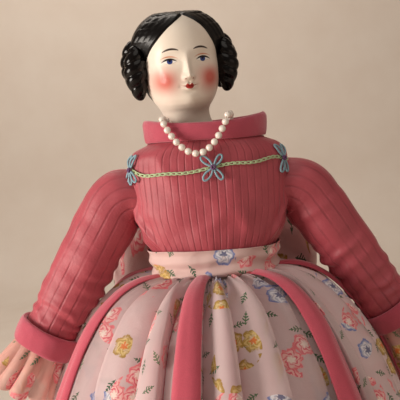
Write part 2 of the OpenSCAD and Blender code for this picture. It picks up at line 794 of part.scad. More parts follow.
neck_plug_r = knee_r - 2.6;
plug_l = 12;
calf_foot_r = knee_r - 0.7;
module calf(side) {
    color("#e8dcc4") leg_place(side) {
        difference() {
            union() {
                translate([0, 0, knee_z]) sphere(r = knee_r);
                intersection() {
                    translate([0, 0, shin_top])
                        cylinder(r1 = calf_foot_r, r2 = knee_r - 0.1, h = knee_z - shin_top);
                    joint_side(knee_z, -1, knee_bend, -1);
                }
            }
            translate([0, 0, shin_top - 1]) cylinder(r = neck_plug_r + 0.1, h = plug_l + 1.1);
        }
    }
}

tie_cord_r = 0.6;
module shin_tie(side) {
    color("#cbbf9f") leg_place(side) translate([0, 0, shin_top + 4])
        rotate_extrude() translate([calf_foot_r + 0.12 + tie_cord_r, 0]) circle(r = tie_cord_r, $fn = 16);
}

ankle_z = 17;
ankle_r = 5.2;
boot_heel_y = 7;
heel_h = 3.4;
module china_shin(side) {
    color("#f0e6da") leg_place(side) {
        translate([0, 0, ankle_z]) rotate_extrude() polygon([[0, 0], [ankle_r, 0], [ankle_r + 0.6, 8],
            [calf_foot_r - 0.6, 28], [calf_foot_r - 0.4, shin_top - ankle_z - 3],
            [calf_foot_r - 0.4, shin_top - ankle_z], [neck_plug_r, shin_top - ankle_z],
            [neck_plug_r, shin_top - ankle_z + plug_l - 0.2], [0, shin_top - ankle_z + plug_l - 0.2]]);
        hull() {
            translate([0, 0, ankle_z - 0.5]) cylinder(r = ankle_r, h = 1);
            translate([0, boot_heel_y - boot_w / 2 + 1, heel_h]) cylinder(r = boot_w / 2 - 0.6, h = 3);
            translate([0, boot_heel_y - boot_l + 5, heel_h - 1]) cylinder(r = boot_w / 2 - 0.6, h = 3);
        }
        hull() {
            translate([0, boot_heel_y - boot_l + boot_w / 2, 0]) cylinder(r = boot_w / 2, h = 2.6);
            translate([0, boot_heel_y - boot_l / 2, 0]) cylinder(r = boot_w / 2 - 0.8, h = 2.6);
            translate([0, boot_heel_y - boot_w / 2 + 1, heel_h - 0.6])
                cylinder(r = boot_w / 2 - 0.8, h = 0.8);
        }
        translate([0, boot_heel_y - boot_w / 2 + 1.2, 0]) cylinder(r = boot_w / 2 - 1.6, h = heel_h + 0.1);
    }
}

// ---- nodes ---------------------------------------------------------------------------------

shoulder_head();
sew_ties();
torso();
bodice();
collar();
back_buttons();
vine_stitch();
flower_petals();
flower_knots();
pearls();
necklace_thread();
necklace_clasp();
sash();
bow_knot();
bow_loop(1);  // bow_left_loop
bow_loop(-1);  // bow_right_loop
bow_tail(1);  // bow_left_tail
bow_tail(-1);  // bow_right_tail
skirt_waistband();
skirt();
skirt_bands();
underskirt();
petticoat();
petticoat_waistband();
drawers_yoke();
upper_arm(1);  // left_upper_arm
upper_arm(-1);  // right_upper_arm
upper_sleeve(1);  // left_upper_sleeve
upper_sleeve(-1);  // right_upper_sleeve
forearm(1);  // left_forearm
forearm(-1);  // right_forearm
lower_sleeve(1);  // left_lower_sleeve
lower_sleeve(-1);  // right_lower_sleeve
cuff(1);  // left_cuff
cuff(-1);  // right_cuff
frill(1);  // left_frill
frill(-1);  // right_frill
thigh(1);  // left_thigh
thigh(-1);  // right_thigh
drawers_leg(1);  // left_drawers_leg
drawers_leg(-1);  // right_drawers_leg
calf(1);  // left_calf
calf(-1);  // right_calf
shin_tie(1);  // left_shin_tie
shin_tie(-1);  // right_shin_tie
china_shin(1);  // left_china_shin
china_shin(-1);  // right_china_shin
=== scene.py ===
"""A glazed china shoulder-head doll in a crepe bodice and a printed voile skirt."""

import json
import math

import bpy
import numpy as np
from bpy.props import FloatProperty, FloatVectorProperty, IntProperty, PointerProperty
from bpy.types import Operator, Panel, PropertyGroup
from mathutils import Matrix, Vector


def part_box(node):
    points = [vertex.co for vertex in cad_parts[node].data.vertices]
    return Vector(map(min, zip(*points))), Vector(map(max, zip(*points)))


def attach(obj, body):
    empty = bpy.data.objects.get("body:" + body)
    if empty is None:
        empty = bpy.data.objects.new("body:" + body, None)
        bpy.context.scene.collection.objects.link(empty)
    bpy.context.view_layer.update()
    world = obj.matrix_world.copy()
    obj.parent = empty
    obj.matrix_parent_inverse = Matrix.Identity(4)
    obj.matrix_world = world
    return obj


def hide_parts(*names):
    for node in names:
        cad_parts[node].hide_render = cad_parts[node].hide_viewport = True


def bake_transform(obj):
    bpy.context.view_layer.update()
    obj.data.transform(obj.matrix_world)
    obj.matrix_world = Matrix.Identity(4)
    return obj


bl_info = {
    "name": "China Head Doll",
    "version": (1, 0, 0),
    "blender": (4, 5, 0),
    "location": "View3D > Sidebar > Doll",
    "description": "Builds a glazed china-head doll with a crepe bodice and a full voile skirt",
    "category": "Add Mesh",
}

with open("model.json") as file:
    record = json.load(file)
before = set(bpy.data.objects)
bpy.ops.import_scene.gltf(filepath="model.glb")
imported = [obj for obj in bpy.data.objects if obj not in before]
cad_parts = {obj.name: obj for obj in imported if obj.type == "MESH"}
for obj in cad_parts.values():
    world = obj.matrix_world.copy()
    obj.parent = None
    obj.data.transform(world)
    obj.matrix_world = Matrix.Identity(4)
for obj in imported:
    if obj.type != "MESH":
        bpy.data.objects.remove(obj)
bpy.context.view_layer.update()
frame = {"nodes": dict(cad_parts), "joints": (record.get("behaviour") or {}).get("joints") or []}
MM = 0.001  # every length below is in millimetres until a mesh or a light is made
TURN = 2 * math.pi
SIDES = {"left": 1, "right": -1}


def linear(code):
    """Linear colour of an sRGB hex value."""
    parts = [int(code[k : k + 2], 16) / 255 for k in (1, 3, 5)]
    return tuple(c / 12.92 if c <= 0.04045 else ((c + 0.055) / 1.055) ** 2.4 for c in parts)


def toned(tone, share):
    """A colour made darker, or lighter as far as full brightness."""
    return tuple(min(1.0, c * share) for c in tone)


def joint(name):
    """Place of a joint, in millimetres."""
    return np.array(next(j["pos_m"] for j in frame["joints"] if j["name"] == name)) / MM


def low(node, axis):
    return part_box(node)[0][axis] / MM


def high(node, axis):
    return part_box(node)[1][axis] / MM


SHOULDER = joint("left_shoulder")
ELBOW = joint("left_elbow")
NECKLINE = high("bodice", 2)
SEAM = low("bodice", 2)
HEM = high("skirt", 0)
ARM_WAY = (ELBOW - SHOULDER) / np.linalg.norm(ELBOW - SHOULDER)
ARM_TURN = math.acos(ARM_WAY[0])  # from straight out sideways to the hanging arm


# ---- sizes and colours that a maker would change ---------------------------------------------


class DollSizes(PropertyGroup):
    head_lean: FloatProperty(
        name="Head lean", description="Sideways lean of the head in its casting",
        default=math.radians(2.6), subtype="ANGLE")
    head_turn: FloatProperty(
        name="Head turn", description="Turn of the head towards the doll's left",
        default=math.radians(10), subtype="ANGLE")
    head_nod: FloatProperty(
        name="Head nod", description="Nod of the face towards the chest",
        default=math.radians(8), subtype="ANGLE")
    ringlets: IntProperty(
        name="Ringlets", description="Moulded ringlets round the back of the head", default=13, min=7)
    rib_pitch: FloatProperty(
        name="Bodice rib pitch", description="Distance between the bodice's woven ribs",
        default=4.2 * MM, unit="LENGTH")
    sleeve_rib_pitch: FloatProperty(
        name="Sleeve rib pitch", description="Distance between the sleeves' woven ribs",
        default=6.2 * MM, unit="LENGTH")
    folds: IntProperty(
        name="Skirt folds", description="Folds between two neighbouring bands", default=3, min=1)
    fold_depth: FloatProperty(
        name="Fold depth", description="Depth of the skirt's folds at the hem",
        default=11 * MM, unit="LENGTH")
    bands: IntProperty(
        name="Skirt bands", description="Plain bands let into the skirt", default=7, min=3)
    print_repeat: FloatProperty(
        name="Print repeat", description="Distance between the printed bouquets",
        default=31 * MM, unit="LENGTH")


def colour(name, about, code):
    return FloatVectorProperty(
        name=name, description=about, default=linear(code), subtype="COLOR", min=0, max=1, size=3)


class DollColours(PropertyGroup):
    porcelain: colour("Porcelain", "Glazed white porcelain", "#f3e9dc")
    hair: colour("Hair", "Black glaze on the moulded hair", "#070404")
    crepe: colour("Crepe", "Bodice and sleeves", "#a9434f")
    flannel: colour("Flannel", "Collar and cuffs", "#bd4b5f")
    band: colour("Bands", "Plain bands of the skirt", "#c84f62")
    voile: colour("Voile", "Sheer printed skirt and frills", "#f9dfe0")
    lining: colour("Underskirt", "Dusky-pink underskirt", "#b8666c")
    ribbon: colour("Ribbon", "Sash and bow", "#f2cfc9")
    vine: colour("Vine", "Chain-stitched vine", "#b7cb9b")
    petal: colour("Petals", "Lazy-daisy petals", "#86aab8")
    knot: colour("Knots", "Knots in the flowers", "#5b2a63")
    leather: colour("Leather", "Kid leather hands", "#a9743f")


# ---- shared tools ----------------------------------------------------------------------------


def step(low_end, high_end, x):
    """Smooth rise from 0 at low_end to 1 at high_end."""
    t = np.clip((x - low_end) / (high_end - low_end), 0, 1)
    return t * t * (3 - 2 * t)


def bump(x, width):
    return np.exp(-((x / width) ** 2))


def powered(x, power):
    """Raises the size of x to a power and keeps its sign."""
    return np.sign(x) * np.abs(x) ** power


def noise(x, y, seed, wrap=64):
    """Smooth noise from -1 to 1. Along x it repeats after wrap cells."""
    table = np.random.default_rng(seed).uniform(-1, 1, (64, 64))
    x, y = np.broadcast_arrays(np.asarray(x, float), np.asarray(y, float))
    column, row = np.floor(x).astype(int), np.floor(y).astype(int)
    fx, fy = step(0, 1, x - column), step(0, 1, y - row)
    corner = [[table[(row + j) % 64, (column + i) % wrap % 64] for i in (0, 1)] for j in (0, 1)]
    lower = corner[0][0] * (1 - fx) + corner[0][1] * fx
    upper = corner[1][0] * (1 - fx) + corner[1][1] * fx
    return lower * (1 - fy) + upper * fy


def crease(x, y, seed, wrap=64, sharp=2.5):
    """Rounded ridges with soft hollows between them, from 0 to 1, as creased cloth has."""
    return (1 - noise(x, y, seed, wrap) ** 2) ** sharp


def through(knots, x):
    """Smooth curve through (place, value) knots, with no overshoot."""
    places, values = np.array(knots, float).T
    gaps, x = np.diff(places), np.asarray(x, float)
    slopes = np.diff(values) / gaps
    before, after = slopes[:-1], slopes[1:]
    middle = np.where(before * after > 0, 2 * before * after / (before + after + 1e-12), 0)
    tangents = np.concatenate([slopes[:1], middle, slopes[-1:]])
    k = np.clip(np.searchsorted(places, x) - 1, 0, len(gaps) - 1)
    t = np.clip((x - places[k]) / gaps[k], 0, 1)
    return (
        (2 * t**3 - 3 * t**2 + 1) * values[k] + (t**3 - 2 * t**2 + t) * gaps[k] * tangents[k]
        + (3 * t**2 - 2 * t**3) * values[k + 1] + (t**3 - t**2) * gaps[k] * tangents[k + 1])


def oval(half_w, half_d, t, power=2.3):
    """Point of a rounded oval at angle t."""
    return half_w * powered(np.cos(t), 2 / power), half_d * powered(np.sin(t), 2 / power)


def full_turn(count):
    """Angles spaced evenly round, without the last one that is the first again."""
    return np.linspace(0, TURN, count, endpoint=False)


def stack(*parts):
    return np.stack(np.broadcast_arrays(*parts), -1)


def unit(v):
    return v / np.maximum(np.linalg.norm(v, axis=-1, keepdims=True), 1e-9)


def grid_faces(rows, cols, around=False, ring=False):
    """Quads of a grid of points. around joins the last column to the first, ring the rows."""
    i, j = np.meshgrid(
        np.arange(rows if ring else rows - 1), np.arange(cols if around else cols - 1),
        indexing="ij")
    up = (i + 1) % rows
    across = (j + 1) % cols
    return np.stack([i * cols + j, i * cols + across, up * cols + across, up * cols + j], -1)


def grid(name, points, uv=None, around=False, ring=False, marks=None):
    """Object with a smooth grid of quads. Points and uv are in millimetres."""
    rows, cols = points.shape[:2]
    faces = grid_faces(rows, cols, around, ring)
    mesh = bpy.data.meshes.new(name)
    mesh.from_pydata((points * MM).reshape(-1, 3), [], faces.reshape(-1, 4))
    mesh.polygons.foreach_set("use_smooth", np.ones(faces.size // 4, bool))
    if uv is not None:
        i, j = np.meshgrid(np.arange(faces.shape[0]), np.arange(faces.shape[1]), indexing="ij")
        up = np.minimum(i + 1, uv.shape[0] - 1)
        corners = np.stack([uv[i, j], uv[i, j + 1], uv[up, j + 1], uv[up, j]], 2)
        mesh.uv_layers.new(name="Cloth").data.foreach_set("uv", (corners * MM).ravel())
    for label, values in (marks or {}).items():
        layer = mesh.attributes.new(label, "FLOAT", "POINT")
        layer.data.foreach_set("value", np.broadcast_to(values, (rows, cols)).ravel())
    thing = bpy.data.objects.new(name, mesh)
    bpy.context.collection.objects.link(thing)
    return thing


def joined(name, parts):
    """Object made of several lots of points and quads, in millimetres."""
    points, faces, count = [], [], 0
    for some_points, some_faces in parts:
        points.append(some_points.reshape(-1, 3))
        faces.append(some_faces.reshape(-1, 4) + count)
        count += len(points[-1])
    mesh = bpy.data.meshes.new(name)
    mesh.from_pydata(np.concatenate(points) * MM, [], np.concatenate(faces))
    mesh.polygons.foreach_set("use_smooth", np.ones(len(mesh.polygons), bool))
    thing = bpy.data.objects.new(name, mesh)
    bpy.context.collection.objects.link(thing)
    return thing


def mirrored(points):
    """The same grid on the doll's other side, with its columns turned to keep it outside out."""
    return points[:, ::-1] * np.array([-1, 1, 1])


def tube(path, radius, sides=8, closed=False, out=None):
    """Round tube along a path, as points and quads. Its ends are drawn in to a point."""
    path = np.asarray(path, float)
    if closed:
        ahead = np.roll(path, -1, 0) - np.roll(path, 1, 0)
    else:
        ahead = np.gradient(path, axis=0)
    ahead = unit(ahead)
    out = np.array([0.31, 0.2, 0.93]) if out is None else np.asarray(out, float)
    across = unit(np.cross(ahead, np.broadcast_to(out, path.shape)))
    up = np.cross(across, ahead)
    radius = np.broadcast_to(radius, len(path)).copy()
    if not closed:
        radius[[0, -1]] *= 0.15
    angle = np.arange(sides) * TURN / sides
    ring = (
        across[:, None] * np.cos(angle)[None, :, None] + up[:, None] * np.sin(angle)[None, :, None])
    points = path[:, None] + ring * radius[:, None, None]
    return points, grid_faces(len(path), sides, True, closed)[..., ::-1]


def thicken(thing, depth, offset=-1.0):
    """Gives a cloth piece its thickness, inward by default."""
    solid = thing.modifiers.new("Cloth thickness", "SOLIDIFY")
    solid.thickness, solid.offset, solid.use_rim = depth * MM, offset, True
    return thing


def softened(name, node, voxel, rounds):
    """Rounded copy of a packed soft solid, with its edges relaxed as stuffing relaxes them."""
    source = frame["nodes"][node]
    thing = bpy.data.objects.new(name, source.data.copy())
    thing.data.materials.clear()
    bpy.context.collection.objects.link(thing)
    thing.matrix_world = source.matrix_world.copy()
    remesh = thing.modifiers.new("Even skin", "REMESH")
    remesh.mode, remesh.voxel_size, remesh.use_smooth_shade = "VOXEL", voxel * MM, True
    relax = thing.modifiers.new("Relaxed edges", "SMOOTH")
    relax.factor, relax.iterations = 0.5, rounds
    graph = bpy.context.evaluated_depsgraph_get()
    mesh = bpy.data.meshes.new_from_object(thing.evaluated_get(graph))
    thing.modifiers.clear()
    thing.data = mesh
    mesh.polygons.foreach_set("use_smooth", np.ones(len(mesh.polygons), bool))
    return thing


def place(thing, material, body, slot, *nodes):
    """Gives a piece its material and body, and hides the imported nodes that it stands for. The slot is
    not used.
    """
    thing.data.materials.clear()
    thing.data.materials.append(material)
    if body:
        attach(thing, body)
    if nodes:
        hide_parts(*nodes)
    return thing


def finish_node(node, material):
    """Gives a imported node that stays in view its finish."""
    thing = frame["nodes"][node]
    for k in range(max(1, len(thing.material_slots))):
        if len(thing.material_slots) <= k:
            thing.data.materials.append(material)
        thing.material_slots[k].material = material


# ---- materials -------------------------------------------------------------------------------


def put(tree, kind, settings=None, out=0, **sockets):
    """Adds a node with its settings, values and links, and returns one of its outputs."""
    node = tree.nodes.new("ShaderNode" + kind)
    for name, value in (settings or {}).items():
        setattr(node, name, value)
    for name, value in sockets.items():
        socket = node.inputs[int(name[1:]) if name[0] == "_" else name.replace("_", " ")]
        if isinstance(value, bpy.types.NodeSocket):
            tree.links.new(value, socket)
        else:
            if hasattr(socket.default_value, "__len__") and len(value) == 3:
                value = (*value, 1.0) if len(socket.default_value) == 4 else value
            socket.default_value = value
    return node.outputs[out] if node.outputs else None


# Settings of the nodes that work on numbers and colours.
BLEND = {"data_type": "RGBA"}
(TIMES, PLUS, MINUS, TIMES_PLUS, OVER, UNDER, SINE, COSINE, BEARING, LARGER, SIZE_OF) = (
    {"operation": name}
    for name in ("MULTIPLY", "ADD", "SUBTRACT", "MULTIPLY_ADD", "GREATER_THAN", "LESS_THAN", "SINE",
                 "COSINE", "ARCTAN2", "MAXIMUM", "ABSOLUTE"))


def finish(recipe):
    """Turns a recipe that fills an empty node tree into a maker of named materials.

    A name that has been made already gives the same material again."""

    def maker(name, *values):
        material = bpy.data.materials.get(name)
        if material is None:
            material = bpy.data.materials.new(name)
            material.use_nodes = True
            material.node_tree.nodes.clear()
            recipe(material.node_tree, *values)
        return material

    return maker


def surface(tree, **sockets):
    shader = put(tree, "BsdfPrincipled", **sockets)
    put(tree, "OutputMaterial", _0=shader)


@finish
def glazed_porcelain(tree):
    """Hard white porcelain under a clear fired glaze, with the face painted over it.

    The glaze gives small sharp highlights; the warm body under it shows as a slight cream."""
    tones = bpy.context.scene.doll_colours
    skin = put(tree, "TexNoise", Vector=put(tree, "TexCoord", None, "Object"),
               Scale=90.0, Detail=3.0)
    colour_now = put(tree, "Mix", BLEND, 2, _0=skin, _6=tuple(tones.porcelain), _7=linear("#eadccb"))
    paints = [
        # attribute, edge softness in mm, sRGB colour, strength
        ("blush", 0.0, "#cc4638", 0.86), ("eye_white", 0.25, "#f4efe8", 0.9),
        ("crease", 0.28, "#c8682c", 0.9), ("lower_lid", 0.25, "#8a6a5c", 0.5),
        ("iris", 0.16, "#2f417e", 1.0), ("pupil", 0.16, "#0d0d1c", 1.0),
        ("lid", 0.16, "#140b0a", 1.0), ("brow", 0.18, "#2a1511", 0.97),
        ("nostril", 0.22, "#8d4f3c", 0.75), ("lips", 0.16, "#a81f1a", 0.97),
        ("lip_line", 0.16, "#5d0c0d", 0.85), ("hair", 0.12, None, 1.0)]
    for label, soft, code, strength in paints:
        mark = put(tree, "Attribute", {"attribute_name": label}, "Fac")
        if soft:
            share = put(tree, "MapRange", {"interpolation_type": "SMOOTHSTEP"}, Value=mark,
                        From_Min=soft, From_Max=-soft, To_Max=strength)
        else:
            share = put(tree, "Math", TIMES, _0=mark, _1=strength)
        colour_now = put(tree, "Mix", BLEND, 2, _0=share, _6=colour_now,
                         _7=linear(code) if code else tuple(tones.hair))
    pits = put(tree, "TexNoise", Vector=put(tree, "TexCoord", None, "Object"),
               Scale=700.0, Detail=2.0)
    relief = put(tree, "Bump", Height=pits, Strength=0.03, Distance=0.1 * MM)
    surface(tree, Base_Color=colour_now, Roughness=0.34, IOR=1.4, Specular_IOR_Level=0.3,
            Coat_Weight=0.12, Coat_Roughness=0.1, Normal=relief)


@finish
def black_glaze(tree):
    """Black-brown ceramic paint under a clear glaze: almost black, with sharp white highlights."""
    streaks = put(tree, "TexNoise", Vector=put(tree, "TexCoord", None, "Object"),
                  Scale=260.0, Detail=3.0)
    shade = put(tree, "Mix", BLEND, 2, _0=streaks, _6=tuple(bpy.context.scene.doll_colours.hair),
                _7=linear("#0a0504"))
    relief = put(tree, "Bump", Height=streaks, Strength=0.12, Distance=0.15 * MM)
    surface(tree, Base_Color=shade, Roughness=0.22, IOR=1.4, Specular_IOR_Level=0.22,
            Coat_Weight=0.22, Coat_Roughness=0.05, Normal=relief)


@finish
def ribbed_crepe(tree, pitch):
    """Dusky-pink crepe with woven ribs: a dry crinkled surface, with painted shade darkening the grooves
    between ribs.
    """
    cloth = put(tree, "UVMap", {"uv_map": "Cloth"})
    across = put(tree, "SeparateXYZ", Vector=cloth)
    wave = put(tree, "Math", TIMES, _0=across, _1=TURN / pitch)
    rib = put(tree, "Math", COSINE, _0=wave)
    line = put(tree, "MapRange", None, Value=rib, From_Min=0.72, From_Max=1.0)
    # wear varies how deep the rib grooves sink and how dark their painted shade is
    wear = put(tree, "TexNoise", Vector=cloth, Scale=75.0, Detail=3.0)
    strength = put(tree, "MapRange", None, Value=wear, From_Min=0.35, From_Max=0.65, To_Min=0.1,
                   To_Max=1.0)
    groove_depth_and_shade = put(tree, "Math", TIMES, _0=line, _1=strength)
    slub = put(tree, "Mapping", Vector=cloth, Scale=(2600, 420, 1))
    threads = put(tree, "TexNoise", Vector=slub, Scale=1.0, Detail=3.0, Roughness=0.65)
    crinkle = put(tree, "TexNoise", Vector=cloth, Scale=420.0, Detail=4.0, Distortion=0.6)
    blotch = put(tree, "TexNoise", Vector=cloth, Scale=45.0, Detail=2.0)
    tone = tuple(bpy.context.scene.doll_colours.crepe)
    dark = toned(tone, 0.5)
    pale = tuple(min(1, c * 1.22 + 0.02) for c in tone)
    shade = put(tree, "Mix", BLEND, 2, _0=threads, _6=tone, _7=pale)
    shade = put(tree, "Mix", BLEND, 2, _0=put(tree, "MapRange", None, Value=blotch, From_Min=0.4,
                                              From_Max=0.75, To_Max=0.35), _6=shade, _7=dark)
    # painted shade: the colour is darkened along the grooves between the ribs
    shade = put(tree, "Mix", BLEND, 2, _0=put(tree, "Math", TIMES, _0=groove_depth_and_shade, _1=0.5), _6=shade, _7=dark)
    height = put(tree, "Math", TIMES_PLUS, _0=groove_depth_and_shade, _1=-1.2, _2=crinkle)
    relief = put(tree, "Bump", Height=height, Strength=0.55, Distance=0.35 * MM)
    weave = put(tree, "Bump", Height=threads, Strength=0.35, Distance=0.12 * MM, Normal=relief)
    surface(tree, Base_Color=shade, Roughness=0.54, Sheen_Weight=0.4, Sheen_Roughness=0.3,
            Sheen_Tint=(1.0, 0.72, 0.74), Normal=weave)


@finish
def brushed_flannel(tree, tone):
    """Soft brushed cotton: short loose fibres scatter light, so edges look pale and hazy."""
    place_in = put(tree, "TexCoord", None, "Object")
    fibres = put(tree, "TexNoise", Vector=place_in, Scale=1900.0, Detail=4.0, Roughness=0.7)
    clumps = put(tree, "TexNoise", Vector=place_in, Scale=260.0, Detail=3.0)
    tone = tuple(tone)
    shade = put(tree, "Mix", BLEND, 2, _0=fibres, _6=toned(tone, 0.78),
                _7=toned(tone, 1.18))
    shade = put(tree, "Mix", BLEND, 2, _0=put(tree, "Math", TIMES, _0=clumps, _1=0.35), _6=shade,
                _7=toned(tone, 0.62))
    height = put(tree, "Math", TIMES_PLUS, _0=clumps, _1=1.5, _2=fibres)
    relief = put(tree, "Bump", Height=height, Strength=0.5, Distance=0.25 * MM)
    surface(tree, Base_Color=shade, Roughness=0.9, Sheen_Weight=0.6, Sheen_Roughness=0.5,
            Sheen_Tint=(1.0, 0.75, 0.8), Normal=relief)


BLOSSOM = 13.5 * MM  # between neighbouring blossoms
SPRIG = 13.0 * MM  # between neighbouring sprigs
FLAT = {"voronoi_dimensions": "2D"}


def floral(tree, cloth, ground, repeat):
    """Painted blossoms in loose bunches, with fern sprigs strewn between them.

    Returns the colour and how solid the ink is."""
    blot = put(tree, "TexNoise", Vector=cloth, Scale=420.0, Detail=3.0)
    far, draw = (put(tree, "TexVoronoi", FLAT, k, Vector=cloth, Scale=1 / repeat, Randomness=0.75)
                 for k in ("Distance", "Color"))
    kind = put(tree, "SeparateColor", Color=draw)
    bunch = put(tree, "Math", UNDER, _0=far, _1=0.36)
    near, middle, own = (
        put(tree, "TexVoronoi", FLAT, k, Vector=cloth, Scale=1 / BLOSSOM, Randomness=0.55)
        for k in ("Distance", "Position", "Color"))
    luck = put(tree, "SeparateColor", Color=own)
    grown = put(tree, "Math", OVER, _0=luck, _1=0.2)
    local = put(tree, "VectorMath", MINUS, _0=cloth, _1=middle)
    side, rise = (put(tree, "SeparateXYZ", None, k, Vector=local) for k in (0, 1))
    around = put(tree, "Math", BEARING, _0=rise, _1=side)
    spun = put(tree, "Math", TIMES_PLUS, _0=luck, _1=9.0, _2=around)
    six = put(tree, "Math", TIMES, _0=spun, _1=6.0)
    lobes = put(tree, "Math", COSINE, _0=six)
    fringe = put(tree, "Math", TIMES_PLUS, _0=blot, _1=0.22, _2=-0.11)
    ragged = put(tree, "Math", PLUS, _0=near, _1=fringe)
    reach = put(tree, "Math", TIMES_PLUS, _0=lobes, _1=-0.035, _2=ragged)
    petals = put(tree, "MapRange", None, Value=reach, From_Min=0.45, From_Max=0.41)
    rim = put(tree, "MapRange", None, Value=reach, From_Min=0.30, From_Max=0.38)
    heart = put(tree, "MapRange", None, Value=reach, From_Min=0.15, From_Max=0.10)
    ring = put(tree, "Math", COSINE,
               _0=put(tree, "Math", TIMES_PLUS, _0=reach, _1=38.0, _2=six))
    stroke = put(tree, "MapRange", None, Value=ring, From_Min=-0.2, From_Max=0.6)
    golden = put(tree, "Math", OVER, _0=kind, _1=0.48)
    bluish = put(tree, "Math", OVER, _0=kind, _1=0.74)

    def by_kind(rose, gold, blue):
        warm = put(tree, "Mix", BLEND, 2, _0=golden, _6=linear(rose), _7=linear(gold))
        return put(tree, "Mix", BLEND, 2, _0=bluish, _6=warm, _7=linear(blue))

    inks = put(tree, "Mix", BLEND, 2, _0=stroke, _6=by_kind("#f6bdb8", "#dcbf7a", "#e6e4ea"),
               _7=by_kind("#e8697a", "#bd9a48", "#b9b9c9"))
    inks = put(tree, "Mix", BLEND, 2, _0=rim, _6=inks, _7=by_kind("#ee7a82", "#a98431", "#6f7fb8"))
    inks = put(tree, "Mix", BLEND, 2, _0=heart, _6=inks, _7=by_kind("#fbe6dc", "#e27a33", "#6c6f8f"))
    veins = put(tree, "MapRange", None, Value=blot, From_Min=0.52, From_Max=0.68, To_Max=0.45)
    inks = put(tree, "Mix", BLEND, 2, _0=veins, _6=inks, _7=linear("#f7e3dc"))
    held = put(tree, "Math", TIMES, _0=bunch, _1=grown)
    blossom = put(tree, "Math", TIMES, _0=held, _1=petals)

    shifted = put(tree, "Mapping", Vector=cloth, Location=(0.4, 0.7, 0.0))
    home, fate = (
        put(tree, "TexVoronoi", FLAT, k, Vector=shifted, Scale=1 / SPRIG, Randomness=0.8)
        for k in ("Position", "Color"))
    turn, pick = (put(tree, "SeparateColor", None, k, Color=fate) for k in (0, 1))
    from_home = put(tree, "VectorMath", MINUS, _0=shifted, _1=home)
    turned = put(tree, "VectorRotate", {"rotation_type": "Z_AXIS"}, Vector=from_home,
                 Angle=put(tree, "Math", TIMES, _0=turn, _1=TURN))
    along, off = (put(tree, "SeparateXYZ", None, k, Vector=turned) for k in (0, 1))
    off = put(tree, "Math", SIZE_OF, _0=off)
    slant = put(tree, "Math", TIMES_PLUS, _0=off, _1=-0.7, _2=along)
    teeth = put(tree, "Math", SINE,
                _0=put(tree, "Math", TIMES, _0=slant, _1=TURN / (1.7 * MM)))
    taper = put(tree, "MapRange", None, Value=put(tree, "Math", SIZE_OF, _0=along),
                From_Min=0.0, From_Max=4.2 * MM, To_Min=1.9 * MM, To_Max=0.0)
    inside = put(tree, "Math", UNDER, _0=off, _1=taper)
    leaflet = put(tree, "Math", OVER, _0=teeth, _1=-0.1)
    stem = put(tree, "Math", UNDER, _0=off, _1=0.25 * MM)
    frond = put(tree, "Math", LARGER, _0=leaflet, _1=stem)
    chosen = put(tree, "Math", OVER, _0=pick, _1=0.42)
    fern = put(tree, "Math", TIMES, _0=inside, _1=frond)
    leaves = put(tree, "Math", TIMES, _0=fern, _1=chosen)
    green = put(tree, "Mix", BLEND, 2, _0=pick, _6=linear("#6f8f63"), _7=linear("#36593f"))
    shade = put(tree, "Mix", BLEND, 2, _0=leaves, _6=ground, _7=green)
    shade = put(tree, "Mix", BLEND, 2, _0=blossom, _6=shade, _7=inks)
    ink = put(tree, "Math", LARGER, _0=leaves, _1=blossom)
    return shade, ink


@finish
def printed_voile(tree, tone, sheer, folds=0.0):
    """Sheer plain-weave voile, screen printed: open threads let the layer below show through,
    most where the cloth lies single, and the ink fills them."""
    cloth = put(tree, "UVMap", {"uv_map": "Cloth"})
    tone = tuple(tone)
    soft = put(tree, "TexNoise", Vector=cloth, Scale=60.0, Detail=2.0)
    ground = put(tree, "Mix", BLEND, 2, _0=soft, _6=tone, _7=toned(tone, 0.9))
    repeat = bpy.context.scene.doll_sizes.print_repeat
    shade, ink = floral(tree, cloth, ground, repeat)
    # Drawn about three times as coarse as real 0.15 mm threads, so that the weave shows.
    pitch = 0.5 * MM
    across, along = (put(tree, "SeparateXYZ", None, k, Vector=cloth) for k in (0, 1))
    threads = [put(tree, "Math", SINE,
                   _0=put(tree, "Math", TIMES, _0=way, _1=TURN / pitch))
               for way in (across, along)]
    weave = put(tree, "Math", LARGER, _0=threads[0], _1=threads[1])
    crumple = put(tree, "TexNoise", Vector=cloth, Scale=110.0, Detail=4.0, Distortion=0.8)
    height = put(tree, "Math", TIMES_PLUS, _0=weave, _1=0.06, _2=crumple)
    relief = put(tree, "Bump", Height=height, Strength=0.75, Distance=1.1 * MM)
    solid = put(tree, "MapRange", None, Value=ink, To_Min=sheer,
                To_Max=min(1.0, sheer + 0.25))
    if folds:
        doubled = put(tree, "Attribute", {"attribute_name": "gathered"}, "Fac")
        solid = put(tree, "Math", {"operation": "MULTIPLY_ADD", "use_clamp": True}, _0=doubled,
                    _1=folds, _2=solid)
    surface(tree, Base_Color=shade, Roughness=0.6, Alpha=solid, Sheen_Weight=0.25,
            Sheen_Roughness=0.4, Normal=relief)


